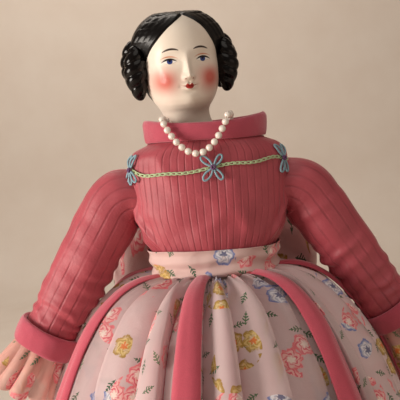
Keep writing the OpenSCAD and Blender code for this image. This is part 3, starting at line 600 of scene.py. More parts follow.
@finish
def plain_cotton(tree, code, pitch=0.6):
    """Plain-weave cotton: a fine even grid of dull threads with small slubs."""
    tone = linear(code) if isinstance(code, str) else tuple(code)
    where = put(tree, "TexCoord", None, "Object")
    axes = [put(tree, "SeparateXYZ", None, k, Vector=where) for k in (0, 1, 2)]
    rise = put(tree, "Math", SINE,
               _0=put(tree, "Math", TIMES, _0=axes[2], _1=TURN / (pitch * MM)))
    sides = [put(tree, "Math", SINE,
                 _0=put(tree, "Math", TIMES, _0=way, _1=TURN / (pitch * MM)))
             for way in axes[:2]]
    weft = put(tree, "Math", TIMES, _0=sides[0], _1=sides[1])
    weave = put(tree, "Math", PLUS, _0=rise, _1=weft)
    slubs = put(tree, "TexNoise", Vector=where, Scale=300.0, Detail=4.0, Roughness=0.6)
    shade = put(tree, "Mix", BLEND, 2, _0=slubs, _6=toned(tone, 0.82),
                _7=toned(tone, 1.12))
    height = put(tree, "Math", TIMES_PLUS, _0=weave, _1=0.15, _2=slubs)
    relief = put(tree, "Bump", Height=height, Strength=0.35, Distance=0.3 * MM)
    surface(tree, Base_Color=shade, Roughness=0.85, Sheen_Weight=0.2, Sheen_Roughness=0.5,
            Normal=relief)


@finish
def cotton_floss(tree, tone, roughness=0.5):
    """Mercerised stranded cotton with a soft gloss; the colour is painted lighter on the raised strands
    as a highlight and darker between them as shade.
    """
    where = put(tree, "TexCoord", None, "Object")
    turned = put(tree, "Mapping", Vector=where, Rotation=(0.4, 0.7, 0.5), Scale=(3000, 3000, 1200))
    strands = put(tree, "TexNoise", Vector=turned, Scale=1.0, Detail=2.0)
    tone = tuple(tone)
    # painted highlight and shade: lighter where the strands rise in the bump, darker between them
    shade = put(tree, "Mix", BLEND, 2, _0=strands, _6=toned(tone, 0.6),
                _7=toned(tone, 1.25))
    relief = put(tree, "Bump", Height=strands, Strength=0.5, Distance=0.15 * MM)
    surface(tree, Base_Color=shade, Roughness=roughness, Sheen_Weight=0.3, Normal=relief)


@finish
def kid_leather(tree):
    """Tan kid: thin smooth glove leather, with fine grain cells and darker rubbed creases."""
    where = put(tree, "TexCoord", None, "Object")
    cells = put(tree, "TexVoronoi", {"feature": "DISTANCE_TO_EDGE"}, "Distance", Vector=where,
                Scale=1300.0)
    wear = put(tree, "TexNoise", Vector=where, Scale=130.0, Detail=4.0)
    tone = tuple(bpy.context.scene.doll_colours.leather)
    shade = put(tree, "Mix", BLEND, 2, _0=wear, _6=toned(tone, 0.55),
                _7=toned(tone, 1.3))
    relief = put(tree, "Bump", Height=cells, Strength=0.3, Distance=0.2 * MM)
    surface(tree, Base_Color=shade, Roughness=0.48, Normal=relief)


@finish
def pearl(tree):
    """Pearl-coated glass bead: a painted soft glow, paler where the surface faces the view and darker
    towards the rim, with a small sharp highlight over it.
    """
    skin = put(tree, "TexNoise", Vector=put(tree, "TexCoord", None, "Object"),
               Scale=500.0, Detail=2.0)
    # painted glow and rim shade: paler where the bead faces the view, darker at its edge
    painted_glow_and_rim_shade = put(tree, "LayerWeight", None, "Facing", Blend=0.35)
    shade = put(tree, "Mix", BLEND, 2, _0=painted_glow_and_rim_shade, _6=linear("#f7f0e6"), _7=linear("#cbb4a4"))
    shade = put(tree, "Mix", BLEND, 2, _0=put(tree, "Math", TIMES, _0=skin, _1=0.2), _6=shade,
                _7=linear("#ead3cc"))
    surface(tree, Base_Color=shade, Roughness=0.28, IOR=1.6, Coat_Weight=0.9, Coat_Roughness=0.08)


@finish
def gilt_brass(tree):
    """Polished gilt brass: warm, with soft scratches."""
    rub = put(tree, "TexNoise", Vector=put(tree, "TexCoord", None, "Object"),
              Scale=900.0, Detail=3.0)
    rough = put(tree, "MapRange", None, Value=rub, To_Min=0.18, To_Max=0.42)
    surface(tree, Base_Color=linear("#d9ad5c"), Metallic=1.0, Roughness=rough)


@finish
def milk_glass(tree):
    """Pressed milk glass: dense white with a soft gloss."""
    cloud = put(tree, "TexNoise", Vector=put(tree, "TexCoord", None, "Object"),
                Scale=600.0, Detail=2.0)
    surface(tree, Base_Color=put(tree, "Mix", BLEND, 2, _0=cloud, _6=linear("#f8efe0"),
                                 _7=linear("#e9dcc8")), Roughness=0.2, IOR=1.5)


@finish
def painted_boot(tree):
    """China shin with a painted, glazed boot: brown up to the ankle line, cream above it."""
    where = put(tree, "TexCoord", None, "Object")
    rise = put(tree, "SeparateXYZ", None, 2, Vector=where)
    top = high("left_china_shin", 2) - low("left_china_shin", 2)
    boot = put(tree, "MapRange", None, Value=rise, From_Min=0.36 * top * MM,
               From_Max=0.355 * top * MM)
    garter = put(tree, "Math", {"operation": "COMPARE"}, _0=rise, _1=0.74 * top * MM, _2=0.9 * MM)
    cloud = put(tree, "TexNoise", Vector=where, Scale=120.0, Detail=3.0)
    shade = put(tree, "Mix", BLEND, 2, _0=cloud, _6=linear("#f3e9dc"), _7=linear("#e9dccb"))
    shade = put(tree, "Mix", BLEND, 2, _0=garter, _6=shade, _7=linear("#a5525f"))
    shade = put(tree, "Mix", BLEND, 2, _0=boot, _6=shade, _7=linear("#2b1510"))
    surface(tree, Base_Color=shade, Roughness=0.15, IOR=1.5, Coat_Weight=0.6, Coat_Roughness=0.05)


@finish
def grey_paper(tree):
    """Dull seamless background paper with a faint tooth."""
    tooth = put(tree, "TexNoise", Vector=put(tree, "TexCoord", None, "Object"), Scale=14.0, Detail=3.0)
    shade = put(tree, "Mix", BLEND, 2, _0=tooth, _6=linear("#dcd3c9"), _7=linear("#d3c6ba"))
    surface(tree, Base_Color=shade, Roughness=0.95)


# Name and finish of the two that more than one operator uses.
LINEN = ("Linen thread", linear("#e6dcc6"), 0.7)
LAWN = ("White cotton lawn", "#f1ebdf")


# ---- head ------------------------------------------------------------------------------------
# The head is drawn upright with the chin's underside at height 0 and its front towards -Y, then
# leaned and turned on the neck.

NECK_H = 23.0
CROWN = 51.4
EYE_X, EYE_Z = 9.35, 24.7


def head_place(points):
    """Carries points from the upright head to its place on the doll."""
    sizes = bpy.context.scene.doll_sizes
    tilt = Matrix.Rotation(-sizes.head_lean, 3, "Y") @ Matrix.Rotation(sizes.head_turn, 3, "Z")
    nod = sizes.head_nod * step(-18, -3, points[..., 2])
    y, rise = points[..., 1], points[..., 2] + 6  # the nod turns about the top of the neck
    lifted = stack(
        points[..., 0] - 3.2 * step(-20, -2, points[..., 2]),
        y * np.cos(nod) - rise * np.sin(nod), rise * np.cos(nod) + y * np.sin(nod) - 6 + NECK_H)
    return lifted @ np.array(tilt).T + np.array([-6.4, 0, NECKLINE])


def skull(v, size, power=2.3):
    """Half width or depth of the head above its widest level."""
    rise = np.clip((v - 26) / (CROWN - 26.4), 0, 1)
    return size * np.maximum(1 - rise**power, 0) ** (1 / power)


def head_half_width(v):
    jaw = through([(-27, 14.4), (-20, 13.3), (-10, 13.0), (-5, 13.5), (-2, 14.7), (1, 16.6),
                   (4, 18.3), (8, 19.8), (14, 20.8), (20, 20.9), (26, 20.6)], v)
    return np.where(v < 26, jaw, skull(v, 20.6))


def head_front(v):
    jaw = through([(-27, 14.4), (-20, 13.2), (-10, 12.6), (-6, 12.9), (-3.5, 14.6), (-1.2, 18.0),
                   (1.2, 20.4), (4, 21.4), (8, 21.6), (14, 22.0), (20, 21.9), (26, 21.5)], v)
    return np.where(v < 26, jaw, skull(v, 21.5, 2.5))


def head_back(v):
    nape = through([(-27, 14.4), (-20, 13.6), (-8, 14.6), (0, 16.8), (8, 19.2), (20, 20.8),
                    (26, 21)], v)
    return np.where(v < 26, nape, skull(v, 21))


def features(u, v):
    """How far the modelled features stand forward of the plain head."""
    nose_h = through([(10.8, 0), (11.8, 0.5), (13.2, 3.2), (14.6, 4.6), (16.5, 4.1), (20, 2.7),
                      (25, 1.3), (30, 0.3), (33, 0)], v)
    nose_w = through([(10, 2.6), (14, 2.3), (17, 1.9), (22, 1.75), (26, 2.1), (32, 4)], v)
    a = np.abs(u)
    forward = nose_h * bump(u, nose_w)
    forward += 1.5 * bump(a - 2.3, 1.15) * bump(v - 13.7, 1.35)
    forward += 0.9 * bump(a - 0.9, 1.6) * bump(v - 9.9, 0.85) + 1.0 * bump(u, 2.1) * bump(v - 7.7, 0.95)
    forward += 0.9 * bump(u, 4.5) * bump(v - 9, 3.2) - 0.3 * bump(u, 0.6) * bump(v - 11, 0.9)
    forward += -0.5 * bump(v - 8.85, 0.32) * bump(u, 4.2) - 0.55 * bump(v - 5.8, 1.1) * bump(u, 3)
    forward += 1.1 * bump(u, 4.6) * bump(v - 2.6, 3.2) - 0.35 * bump(a - 5, 1.2) * bump(v - 9, 1.3)
    forward += 0.9 * bump(a - 11.5, 5.5) * bump(v - 13, 6)
    forward += -1.5 * bump(a - 8.6, 4.8) * bump(v - 25.2, 3.8)
    forward += 1.15 * bump(a - EYE_X, 3.4) * bump(v - EYE_Z, 2.3)
    lid = EYE_Z + 2.5 - 0.07 * (a - EYE_X) ** 2
    forward += -0.32 * bump(v - lid, 0.4) * bump(a - EYE_X, 4.2)
    forward += 0.3 * bump(v - (EYE_Z + 1.2 - 0.075 * (a - EYE_X) ** 2), 0.5) * bump(a - EYE_X, 3.6)
    forward += 0.4 * bump(a - 8, 5) * bump(v - 30.5, 1.6)
    return forward


HAIRLINE = [(-30, 180), (0.5, 180), (2.5, 112), (8, 90), (16, 86), (25, 79), (30, 66), (36, 50),
            (40, 41), (43, 33), (46, 21), (48.2, 9), (49.4, 0), (52, 0)]


def hair_distance(angle, v):
    """Distance in millimetres behind the painted hairline; negative on the face."""
    edge = np.interp(v, *zip(*HAIRLINE))
    slope = (np.interp(v + 0.3, *zip(*HAIRLINE)) - np.interp(v - 0.3, *zip(*HAIRLINE))) / 0.6
    reach = np.radians(np.degrees(np.abs(angle)) - edge) * np.maximum(head_half_width(v), 3)
    return reach / np.sqrt(1 + (np.radians(slope) * np.maximum(head_half_width(v), 3)) ** 2)


def hair_dome(angle, v):
    """Outer surface of the hair, drawn back in wide wings over the ears."""
    rise = np.clip((v - 27) / (CROWN + 1.2 - 27), 0, 1)
    top = np.maximum(1 - rise**2.2, 0) ** (1 / 2.2)
    below = through([(-2, 0.66), (4, 0.7), (12, 0.86), (20, 0.95), (27, 1)], v)
    size = np.where(v < 27, below, top)
    depth = np.where(np.abs(angle) > math.pi / 2, 25.5, 20.5)
    x, y = oval(1, 1, angle - math.pi / 2, 2.2)
    return stack(28.6 * size * x, depth * size * y + 1.5, v + 1.2 * step(30, CROWN, v))


def paint_marks(u, v, front):
    """Signed distances, in millimetres, to the edges of the painted features."""
    a = np.abs(u)
    e = a - EYE_X
    away = 9.0 * (1 - front)  # nothing is painted round the back
    brow = np.abs(v - (31.2 - 0.06 * (a - 8.0) ** 2))
    brow_t = 0.56 * np.sqrt(np.clip(1 - ((a - 8.5) / 4.5) ** 2, 0, 1))
    upper = EYE_Z + 1.15 - 0.085 * e**2
    lower = EYE_Z - 1.35 + 0.07 * e**2
    lid_t = 0.52 * np.clip(1 - (np.abs(e - 0.3) / 4.5) ** 3, 0, 1)
    fold = np.abs(v - (EYE_Z + 2.5 - 0.055 * e**2))
    fold_t = 0.32 * np.clip(1 - (np.abs(e) / 4.9) ** 2, 0, 1)
    iris = np.maximum(np.hypot(e + 0.1, v - EYE_Z + 0.05) - 1.55, v - upper)
    pupil = np.maximum(np.hypot(e + 0.1, v - EYE_Z - 0.25) - 0.62, v - upper)
    top_lip = 9.05 + 1.3 * np.exp(-(((a - 1.2) / 1.15) ** 2)) * step(3.4, 1.5, a)
    bottom_lip = 8.95 - 1.55 * np.sqrt(np.clip(1 - (u / 2.35) ** 2, 0, 1))
    full = np.where(a < 3.2, np.maximum(v - top_lip, bottom_lip - v), a - 3.2 + 0.3)
    corner = np.abs(v - (8.95 + 0.022 * u**2)) - 0.4 * np.clip(1 - a / 5.6, 0, 1) + 0.02
    tips = np.where(a < 4.9, corner, 1.0)
    marks = {
        "brow": np.where(brow_t > 0, brow - brow_t, 1.0),
        "lid": np.where(lid_t > 0, np.abs(v - upper) - lid_t, 1.0),
        "crease": np.where(fold_t > 0, fold - fold_t, 1.0),
        "eye_white": np.maximum(np.maximum(v - upper, lower - v), np.abs(e) - 3.5),
        "lower_lid": np.where(np.abs(e) < 3.4, np.abs(v - lower) - 0.08, 1.0),
        "iris": iris, "pupil": pupil,
        "lips": np.minimum(full, tips),
        "lip_line": np.where(a < 3.0, np.abs(v - (8.85 + 0.03 * u**2)) - 0.13, 1.0),
        "nostril": np.hypot((a - 2.1) / 1.3, v - 13.0) - 0.42,
    }
    marks = {name: distance + away for name, distance in marks.items()}
    blush = bump(a - 12.6, 6.4) * bump(v - 12.4, 6.8) * 1.1
    return {**marks, "blush": front * np.clip(blush, 0, 1)}


class DOLL_OT_head(Operator):
    """Model the porcelain head with its painted face, moulded hair and shoulder plate"""

    bl_idname = "doll.head"
    bl_label = "Porcelain head"

    def execute(self, context):
        porcelain, black = glazed_porcelain("Glazed porcelain"), black_glaze("Black glaze")
        q = np.linspace(-1, 1, 360, endpoint=False)
        angle = math.pi * (q - 0.55 * np.sin(math.pi * q) / math.pi)
        top = 33 + (CROWN - 33.05) * np.sin(np.linspace(0, math.pi / 2, 70))
        v = np.concatenate([np.linspace(-27, -4, 20)[:-1], np.linspace(-4, 33, 150)[:-1], top])
        angle, v = np.meshgrid(angle, v)
        depth = np.where(np.abs(angle) < math.pi / 2, head_front(v), head_back(v))
        x, y = oval(1, 1, angle - math.pi / 2, 2.15)
        skin = stack(head_half_width(v) * x, depth * y, v)
        front = step(0.05, 0.45, np.cos(angle))
        level = v - 1.7 * step(24, 17, v) * step(1, 5, v)  # nose and mouth sit this much higher
        skin[..., 1] -= features(skin[..., 0], level) * front
        marks = paint_marks(skin[..., 0], level, step(0.0, 0.2, np.cos(angle)))
        parted = angle - 0.17 * step(28, 50, v) * np.cos(angle / 2) ** 2
        behind = hair_distance(parted, v)
        marks["hair"] = -behind
        dome = hair_dome(angle, v)
        grooves = 0.09 * np.sin(behind * TURN / 1.9) * step(1.5, 4, behind)
        outward = unit(skin * np.array([1, 1, 0.35]) - np.array([0, 0, 7]))
        raised = skin + outward * (1.1 * step(-0.1, 1.3, behind))[..., None]
        share = (step(0.4, 9.5, behind) * step(1, 5, v))[..., None]
        hair = raised * (1 - share) + dome * share
        parting = 0.7 * bump(skin[..., 0], 0.7) * step(0.5, 3, behind) * step(20, 30, v)
        hair += outward * (grooves - parting)[..., None]
        shown = np.where((behind > -0.1)[..., None], hair, skin)
        head = grid("head", head_place(shown), around=True, marks=marks)
        place(head, porcelain, "torso", "glazed_porcelain", "shoulder_head")
        curls = joined("ringlets", [ringlet(k) for k in range(context.scene.doll_sizes.ringlets)])
        place(curls, black, "torso", "glazed_porcelain", "shoulder_head")
        self.shoulder_plate(porcelain)
        return {"FINISHED"}

    def shoulder_plate(self, porcelain):
        t = full_turn(96)
        levels = [(-20, 35, 24.5), (-12, 33, 23.5), (-5, 26, 20), (-1, 19, 17), (1.5, 14.6, 14.4),
                  (4, 13.6, 13.6)]
        z = np.linspace(-20, 4, 40)
        half_w = through([(a, b) for a, b, _ in levels], z)[:, None]
        half_d = through([(a, c) for a, _, c in levels], z)[:, None]
        x, y = oval(half_w, half_d, t[None])
        plate = grid("shoulder_plate", stack(x - 5.5, y, z[:, None] + NECKLINE), around=True)
        thicken(plate, 2.5)
        place(plate, porcelain, "torso", "glazed_porcelain", "shoulder_head")


def ringlet(k):
    """One moulded sausage curl: a rounded column with a spiral of soft ridges."""
    count = bpy.context.scene.doll_sizes.ringlets
    around = math.radians(90 - 104 + 208 * k / (count - 1))
    rise = 3 * math.sin(around) + (1.0 if k % 2 else -0.8)
    draws = np.random.default_rng(40 + k)
    top, foot = 37 + rise, 5.5 + rise + draws.uniform(-1, 1)
    s = (1 - np.cos(np.linspace(0.03, math.pi - 0.03, 80)[:, None])) / 2
    phi = full_turn(36)[None]
    belly = 6.7 * np.sin(math.pi * s) ** 0.42
    belly = belly * (1 - 0.16 * step(0.55, 0.0, s))
    twist = phi + TURN * (2.3 * s + draws.uniform()) * (1 if math.cos(around) > 0 else -1)
    ridge = np.abs(np.sin(twist)) ** 0.55 - 0.72
    radius = belly * (1 + 0.2 * ridge) + 0.05 * np.sin(11 * twist)
    lean = 1.8 * np.sin(math.pi * s)
    middle_x = (26.2 + lean * 0.6) * math.cos(around)
    middle_y = 3 + (21.0 + lean * 0.6) * math.sin(around)
    z = foot + (top - foot) * s
    points = stack(middle_x + radius * np.cos(phi), middle_y + radius * np.sin(phi),
                   z + 0 * phi)
    return head_place(points), grid_faces(*points.shape[:2], True)


# ---- bodice, collar and embroidery -----------------------------------------------------------

BODICE_W = [(SEAM, 34.6), (SEAM + 9.5, 36.4), (SEAM + 33.5, 45.4), (SEAM + 56.5, 46.8),
            (NECKLINE - 9, 46.0), (NECKLINE - 3.5, 41.5), (NECKLINE, 34.5)]
BODICE_D = [(SEAM, 29.2), (SEAM + 9.5, 30.6), (SEAM + 33.5, 32.4), (SEAM + 56.5, 30.4),
            (NECKLINE - 8, 29.2), (NECKLINE, 27.5)]


def bodice_point(t, z, out=0.0):
    """Point on the smooth bodice at angle t and height z."""
    x, y = oval(through(BODICE_W, z) + out, through(BODICE_D, z) + out, t)
    return stack(x, y, z)


def bodice_out(t, z):
    """Direction straight off the bodice."""
    along = bodice_point(t + 0.02, z) - bodice_point(t - 0.02, z)
    return unit(np.cross(along, np.array([0, 0, 1.0])))


def even_angles(count):
    """Angles that space points evenly round the chest."""
    fine = np.linspace(0, TURN, 4001)
    ring = bodice_point(fine, SEAM + 45)
    length = np.concatenate([[0], np.cumsum(np.linalg.norm(np.diff(ring, axis=0), axis=1))])
    return np.interp(np.linspace(0, length[-1], count + 1), length, fine), length[-1]


class DOLL_OT_bodice(Operator):
    """Sew the ribbed crepe bodice, creased at the armholes and above the sash"""

    bl_idname = "doll.bodice"
    bl_label = "Bodice"

    def execute(self, context):
        pitch = context.scene.doll_sizes.rib_pitch / MM
        t, girth = even_angles(720)
        girth = round(girth / pitch) * pitch
        z = np.linspace(SEAM - 0.4, NECKLINE + 0.6, 110)
        tt, zz = np.meshgrid(t[:-1], z)
        u = np.linspace(0, girth, 721)[None, :-1] + 0 * zz
        ribs = 0.06 * (1 - np.clip((np.cos(u * TURN / pitch) - 0.4) / 0.6, 0, 1) ** 2)
        blouse = 1.5 * bump(zz - SEAM - 17, 6) * (1 + 0.5 * noise(u / 11, zz / 30, 3, 20))
        pulls = 1.1 * crease(u / 17 + zz / 55, zz / 16 - u / 90, 5, sharp=4) * step(15, 25, zz - SEAM)
        gathers = 0.9 * noise(u / 5.5, zz / 40, 8) * step(30, 12, zz - SEAM)
        side = np.abs(np.cos(tt))
        folds = 0.9 * noise(u / 20, zz / 5.5, 12) * step(0.6, 0.95, side) * step(50, 30, zz - SEAM)
        for way in (-1, 1):  # pulls from the armhole down to the waist
            line = FRONT + way * (0.62 + 0.016 * (zz - SEAM))
            pulls = pulls + 1.9 * bump((tt - line) * 36, 2.8) * bump(zz - SEAM - 24, 15)
        edge = step(-1, 4, NECKLINE - zz)
        points = bodice_point(tt, zz)
        out = bodice_out(tt, zz)
        points += out * ((ribs + (blouse + pulls + gathers + folds) * edge) - 0.7)[..., None]
        uv = stack(np.linspace(0, girth, 721)[None], z[:, None])
        cloth = grid("bodice_cloth", points, uv, around=True)
        thicken(cloth, 0.8)
        crepe = ribbed_crepe("Ribbed crepe, bodice", context.scene.doll_sizes.rib_pitch)
        place(cloth, crepe, "torso", "pink_crepe", "bodice")
        finish_node("back_buttons", milk_glass("Milk glass"))
        return {"FINISHED"}


class DOLL_OT_collar(Operator):
    """Roll the thick standing collar"""

    bl_idname = "doll.collar"
    bl_label = "Collar"

    def execute(self, context):
        half_w, half_d = high("collar", 0), high("collar", 1)
        foot, top, deep = low("collar", 2), high("collar", 2), 3.4
        t = full_turn(240)[None]
        turn = full_turn(34)[:, None]
        section = powered(np.cos(turn), 0.8)
        rise = powered(np.sin(turn), 0.62)
        wave = noise(t * 12 / TURN, 0 * t, 21, 12)
        out = -deep / 2 + section * deep / 2 * (1 + 0.12 * wave) + 0.35 * wave
        out = out + 0.5 * rise * step(0, 1, section) + 0.22 * noise(t * 40 / TURN, turn * 2, 22, 40)
        height = (foot + top) / 2 + (top - foot) / 2 * rise + 0.5 * noise(t * 7 / TURN, turn * 0, 23, 7)
        x, y = oval(half_w + out, half_d + out, t)
        dip = 2.6 * bump(t - FRONT, 0.95) * (1 + rise) / 2 + 1.0 * bump(t - FRONT, 0.9)
        sides = 1.2 * np.abs(np.cos(t)) ** 3 * (1 + rise) / 2
        points = stack(x, y, height - dip + sides + 0.6)
        roll = grid("collar_roll", points[::-1], around=True, ring=True)
        tones = context.scene.doll_colours
        place(roll, brushed_flannel("Brushed flannel", tones.flannel), "torso", "pink_flannel",
              "collar")
        return {"FINISHED"}


VINE_WAVE = 2.8
VINE_Z = high("vine_stitch", 2) - VINE_WAVE - 0.9
VINE_REACH = math.radians(68)
STITCH = 3.1  # from one link of the chain to the next
FRONT = 1.5 * math.pi
FLOWERS = [(-64, (72, 108, 236, 270, 304)), (2, (50, 130, 235, 305)), (60, (66, 114, 250, 290))]


def vine_height(t):
    across = t - FRONT
    rise = 4.6 * step(-0.45, -1.25, across)
    return VINE_Z + VINE_WAVE * np.sin(1.75 * across) + 0.7 * np.sin(9.3 * across) + rise


def per_radian(t, z):
    """Millimetres round the bodice for each radian."""
    return np.linalg.norm(bodice_point(t + 0.01, z) - bodice_point(t - 0.01, z)) / 0.02


def stitched(t, z, u, v, out):
    """Point on the bodice u across and v above a place on it."""
    return bodice_point(t + u / per_radian(t, z), z + v, out)


def loop_outline(length, width, count=18):
    """Teardrop loop of thread that starts and ends at 0, 0 and runs along +x."""
    s = full_turn(count)
    return length * (1 - np.cos(s)) / 2, width / 2 * np.sin(s) * (0.75 - 0.3 * np.cos(s))


class DOLL_OT_embroidery(Operator):
    """Stitch the chain-stitch vine, the lazy-daisy petals and their knots"""

    bl_idname = "doll.embroidery"
    bl_label = "Embroidery"

    def execute(self, context):
        tones = context.scene.doll_colours
        links = []
        t = FRONT - VINE_REACH
        while t < FRONT + VINE_REACH - 0.02:
            z = vine_height(t)
            ahead = t + STITCH / per_radian(t, z)
            slope = (vine_height(ahead) - z) / STITCH
            along, across = loop_outline(4.2, 1.6)
            path = stitched(t, z, along - across * slope, along * slope + across, 0.95)
            links.append(tube(path, 0.36, 6, True, bodice_out(t, z)))
            t = ahead
        vine = joined("vine_chain", links)
        place(vine, cotton_floss("Green cotton floss", tones.vine), "torso", "green_floss",
              "vine_stitch")
        loops, knots = [], []
        for degrees, ways in FLOWERS:
            t = FRONT + math.radians(degrees)
            z = vine_height(t)
            out = bodice_out(t, z)
            for way in ways:
                c, s = math.cos(math.radians(way)), math.sin(math.radians(way))
                along, across = loop_outline(7.4, 3.6)
                path = stitched(t, z, (along + 0.9) * c - across * s,
                                (along + 0.9) * s + across * c, 1.8)
                loops.append(tube(path, 0.58, 6, True, out))
            spin = np.linspace(0, 2.2 * TURN, 40)
            grow = 1.15 - 0.35 * spin / spin[-1]
            path = stitched(t, z, grow * np.cos(spin), grow * np.sin(spin), 0)
            path = path + out * (2.2 + 0.9 * spin / spin[-1])[:, None]
            knots.append(tube(path, 0.55, 6, False, out))
        petals = joined("daisy_petals", loops)
        place(petals, cotton_floss("Blue cotton floss", tones.petal), "torso", "blue_floss",
              "flower_petals")
        knot = joined("daisy_knots", knots)
        place(knot, cotton_floss("Plum cotton floss", tones.knot), "torso", "plum_floss",
              "flower_knots")
        return {"FINISHED"}


PEARL_R = 2.0
STRAND_TURN = math.radians(9)  # how far the string has slipped towards the doll's right


def strand(count=1800):
    """Path of the pearl string.

    It hangs on the bodice, comes up over the collar and lies inside it round the neck."""
    depth = -low("pearls", 1) - PEARL_R
    width = depth + high("collar", 0) - high("collar", 1)
    from_front = np.linspace(-math.pi, math.pi, count, endpoint=False)
    off = np.degrees(np.abs(from_front))
    way = from_front - STRAND_TURN
    outside = (np.abs(np.sin(way) / width) ** 2.3 + np.abs(np.cos(way) / depth) ** 2.3) ** (-1 / 2.3)
    reach = outside + (23 - outside) * step(27, 49, off)
    hang = 20.2 * np.clip(1 - (off / 31) ** 2, 0, 1)
    rise = high("collar", 2) + 0.5 - hang - 8.0 * step(38, 54, off)
    return stack(reach * np.sin(way), -reach * np.cos(way), rise)


def bead(middle, way, radius, long=1.0):
    """Drilled round bead, with its hole along the string."""
    up_down = np.linspace(-1.42, 1.42, 13)[:, None]
    around = full_turn(20)[None, :, None]
    side = unit(np.cross(way, (0.0, 0.0, 1.0)))
    ring = side * np.cos(around) + np.cross(side, way) * np.sin(around)
    points = middle + radius * (
        ring * np.cos(up_down)[..., None] + long * np.sin(up_down)[..., None] * way)
    return points, grid_faces(13, 20, around=True)


class DOLL_OT_necklace(Operator):
    """String the pearls on their thread and close it with a clasp at the back"""

    bl_idname = "doll.necklace"
    bl_label = "Pearl necklace"

    def execute(self, context):
        path = strand()
        hops = np.linalg.norm(np.roll(path, -1, 0) - path, axis=1)
        run = np.concatenate([[0.0], np.cumsum(hops)])
        count = 2 * int(run[-1] / (2 * PEARL_R + 0.14) / 2)
        closed = np.concatenate([path, path[:1]])
        spots = np.array([through(list(zip(run, closed[:, k])), np.arange(count) * run[-1] / count)
                          for k in range(3)]).T
        ways = unit(np.roll(spots, -1, 0) - np.roll(spots, 1, 0))
        beads = [bead(spot, way, PEARL_R) for spot, way in zip(spots[1:], ways[1:])]
        string = joined("pearl_string", beads)
        place(string, pearl("Pearl"), "torso", "pearl", "pearls")
        thread = joined("pearl_thread", [tube(path[::6], 0.3, 6, closed=True)])
        linen = cotton_floss(*LINEN)
        place(thread, linen, "torso", "linen_thread", "necklace_thread")
        clasp = joined("barrel_clasp", [bead(spots[0], ways[0], 1.5, 1.35)])
        place(clasp, gilt_brass("Gilt brass"), "torso", "gilt_metal", "necklace_clasp")
        return {"FINISHED"}


# ---- sleeves, cuffs, frills and hands --------------------------------------------------------


BEND_R = 17.0  # of the arm's turn from the shoulder to the hanging way


def arm_frame(s):
    """Centre, outer side and back side of the sleeve's rings, s millimetres along it."""
    start = SHOULDER[0] - BEND_R * math.tan(ARM_TURN / 2)
    s = np.asarray(s, float)
    angle = np.clip(s / BEND_R, 0, ARM_TURN)
    x = start + np.minimum(s, 0) + BEND_R * np.sin(angle)
    z = SHOULDER[2] - BEND_R * (1 - np.cos(angle))
    further = np.maximum(s - BEND_R * ARM_TURN, 0)
    x, z = x + further * math.cos(ARM_TURN), z - further * math.sin(ARM_TURN)
    centre = stack(x, 0 * x, z)
    outer = stack(np.sin(angle), 0 * angle, np.cos(angle))
    back = stack(0 * x, 1 + 0 * x, 0 * x)
    return centre, outer, back


ALONG = BEND_R * (ARM_TURN - math.tan(ARM_TURN / 2))  # sleeve length less the arm's own length


def arm_points(s, phi, radius):
    """Points round the arm: phi is 0 on its outer side and a quarter turn at the back."""
    centre, outer, back = arm_frame(s)
    return centre + radius[..., None] * (
        np.cos(phi)[..., None] * outer + np.sin(phi)[..., None] * back)


UPPER_ARM = float(np.linalg.norm(ELBOW - SHOULDER))
CUFF_TOP = 86.0
CUFF_W = 13.0


class DOLL_OT_sleeves(Operator):
    """Set in the long sleeves, ribbed and softly crumpled round the elbow"""

    bl_idname = "doll.sleeves"
    bl_label = "Sleeves"

    def execute(self, context):
        pitch = context.scene.doll_sizes.sleeve_rib_pitch
        crepe = ribbed_crepe("Ribbed crepe, sleeves", pitch)
        for side in SIDES:
            sleeve = self.sleeve(side, pitch / MM)
            place(sleeve, crepe, None, "pink_crepe", f"{side}_upper_sleeve", f"{side}_lower_sleeve")
            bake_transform(sleeve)
        return {"FINISHED"}

    def sleeve(self, side, pitch):
        seed = 50 if side == "left" else 70
        length = CUFF_TOP + ALONG + 6.5
        s = np.linspace(-7, length, 230)
        around = 16
        girth = around * pitch
        phi = full_turn(288)
        ss, pp = np.meshgrid(s, phi, indexing="ij")
        base = through([(-7, 15.2), (1, 15.9), (9, 16.6), (30, 16.9), (55, 16.1), (80, 15.4),
                        (length - 9, 14.9), (length, 14.1)], ss)
        a = pp * 10 / TURN
        ends = step(-1, 7, ss) * step(length + 1, length - 11, ss)
        big = 2.3 * crease(a * 0.5 + ss / 60, ss / 21, seed, 5, 2.2) - 0.9
        cross = 1.2 * crease(a * 0.3 + ss / 45 + 0.3 * np.sin(pp), ss / 9.5, seed + 1, 3, 3.0)
        inner = bump(np.cos(pp - math.pi * 0.9) - 1, 0.9) * bump(ss - UPPER_ARM - ALONG - 4, 17)
        elbow = 0.9 * inner * np.sin(ss * TURN / 8.5 + 1.6 * noise(a, ss / 12, seed + 6, 10))
        long_folds = 0.9 * noise(a, ss / 34, seed + 2, 10)
        swing = 2.6 * noise(a, ss / 9, seed + 3, 10)
        bunched = 0.65 * bump(ss - length + 15, 8) * np.sin(ss * TURN / 7.8 + swing)
        head = 0.7 * noise(pp * 14 / TURN, ss / 15, seed + 4, 14) * bump(ss - 8, 9)
        ribs = 0.05 * (1 - np.clip((np.cos(pp * around) - 0.4) / 0.6, 0, 1) ** 2)
        radius = base + ribs + (big * 0.55 + cross * 0.62 + elbow + long_folds + bunched + head) * ends
        points = arm_points(ss, pp, radius)
        u = np.linspace(0, girth, 289)[None] + 0 * s[:, None]
        uv = stack(u, s[:, None])
        if SIDES[side] < 0:
            points, uv = mirrored(points), uv[:, ::-1]
        cloth = grid(f"{side}_sleeve", points[:, ::-1], uv[:, ::-1], around=True)
        thicken(cloth, 0.6)
        return cloth


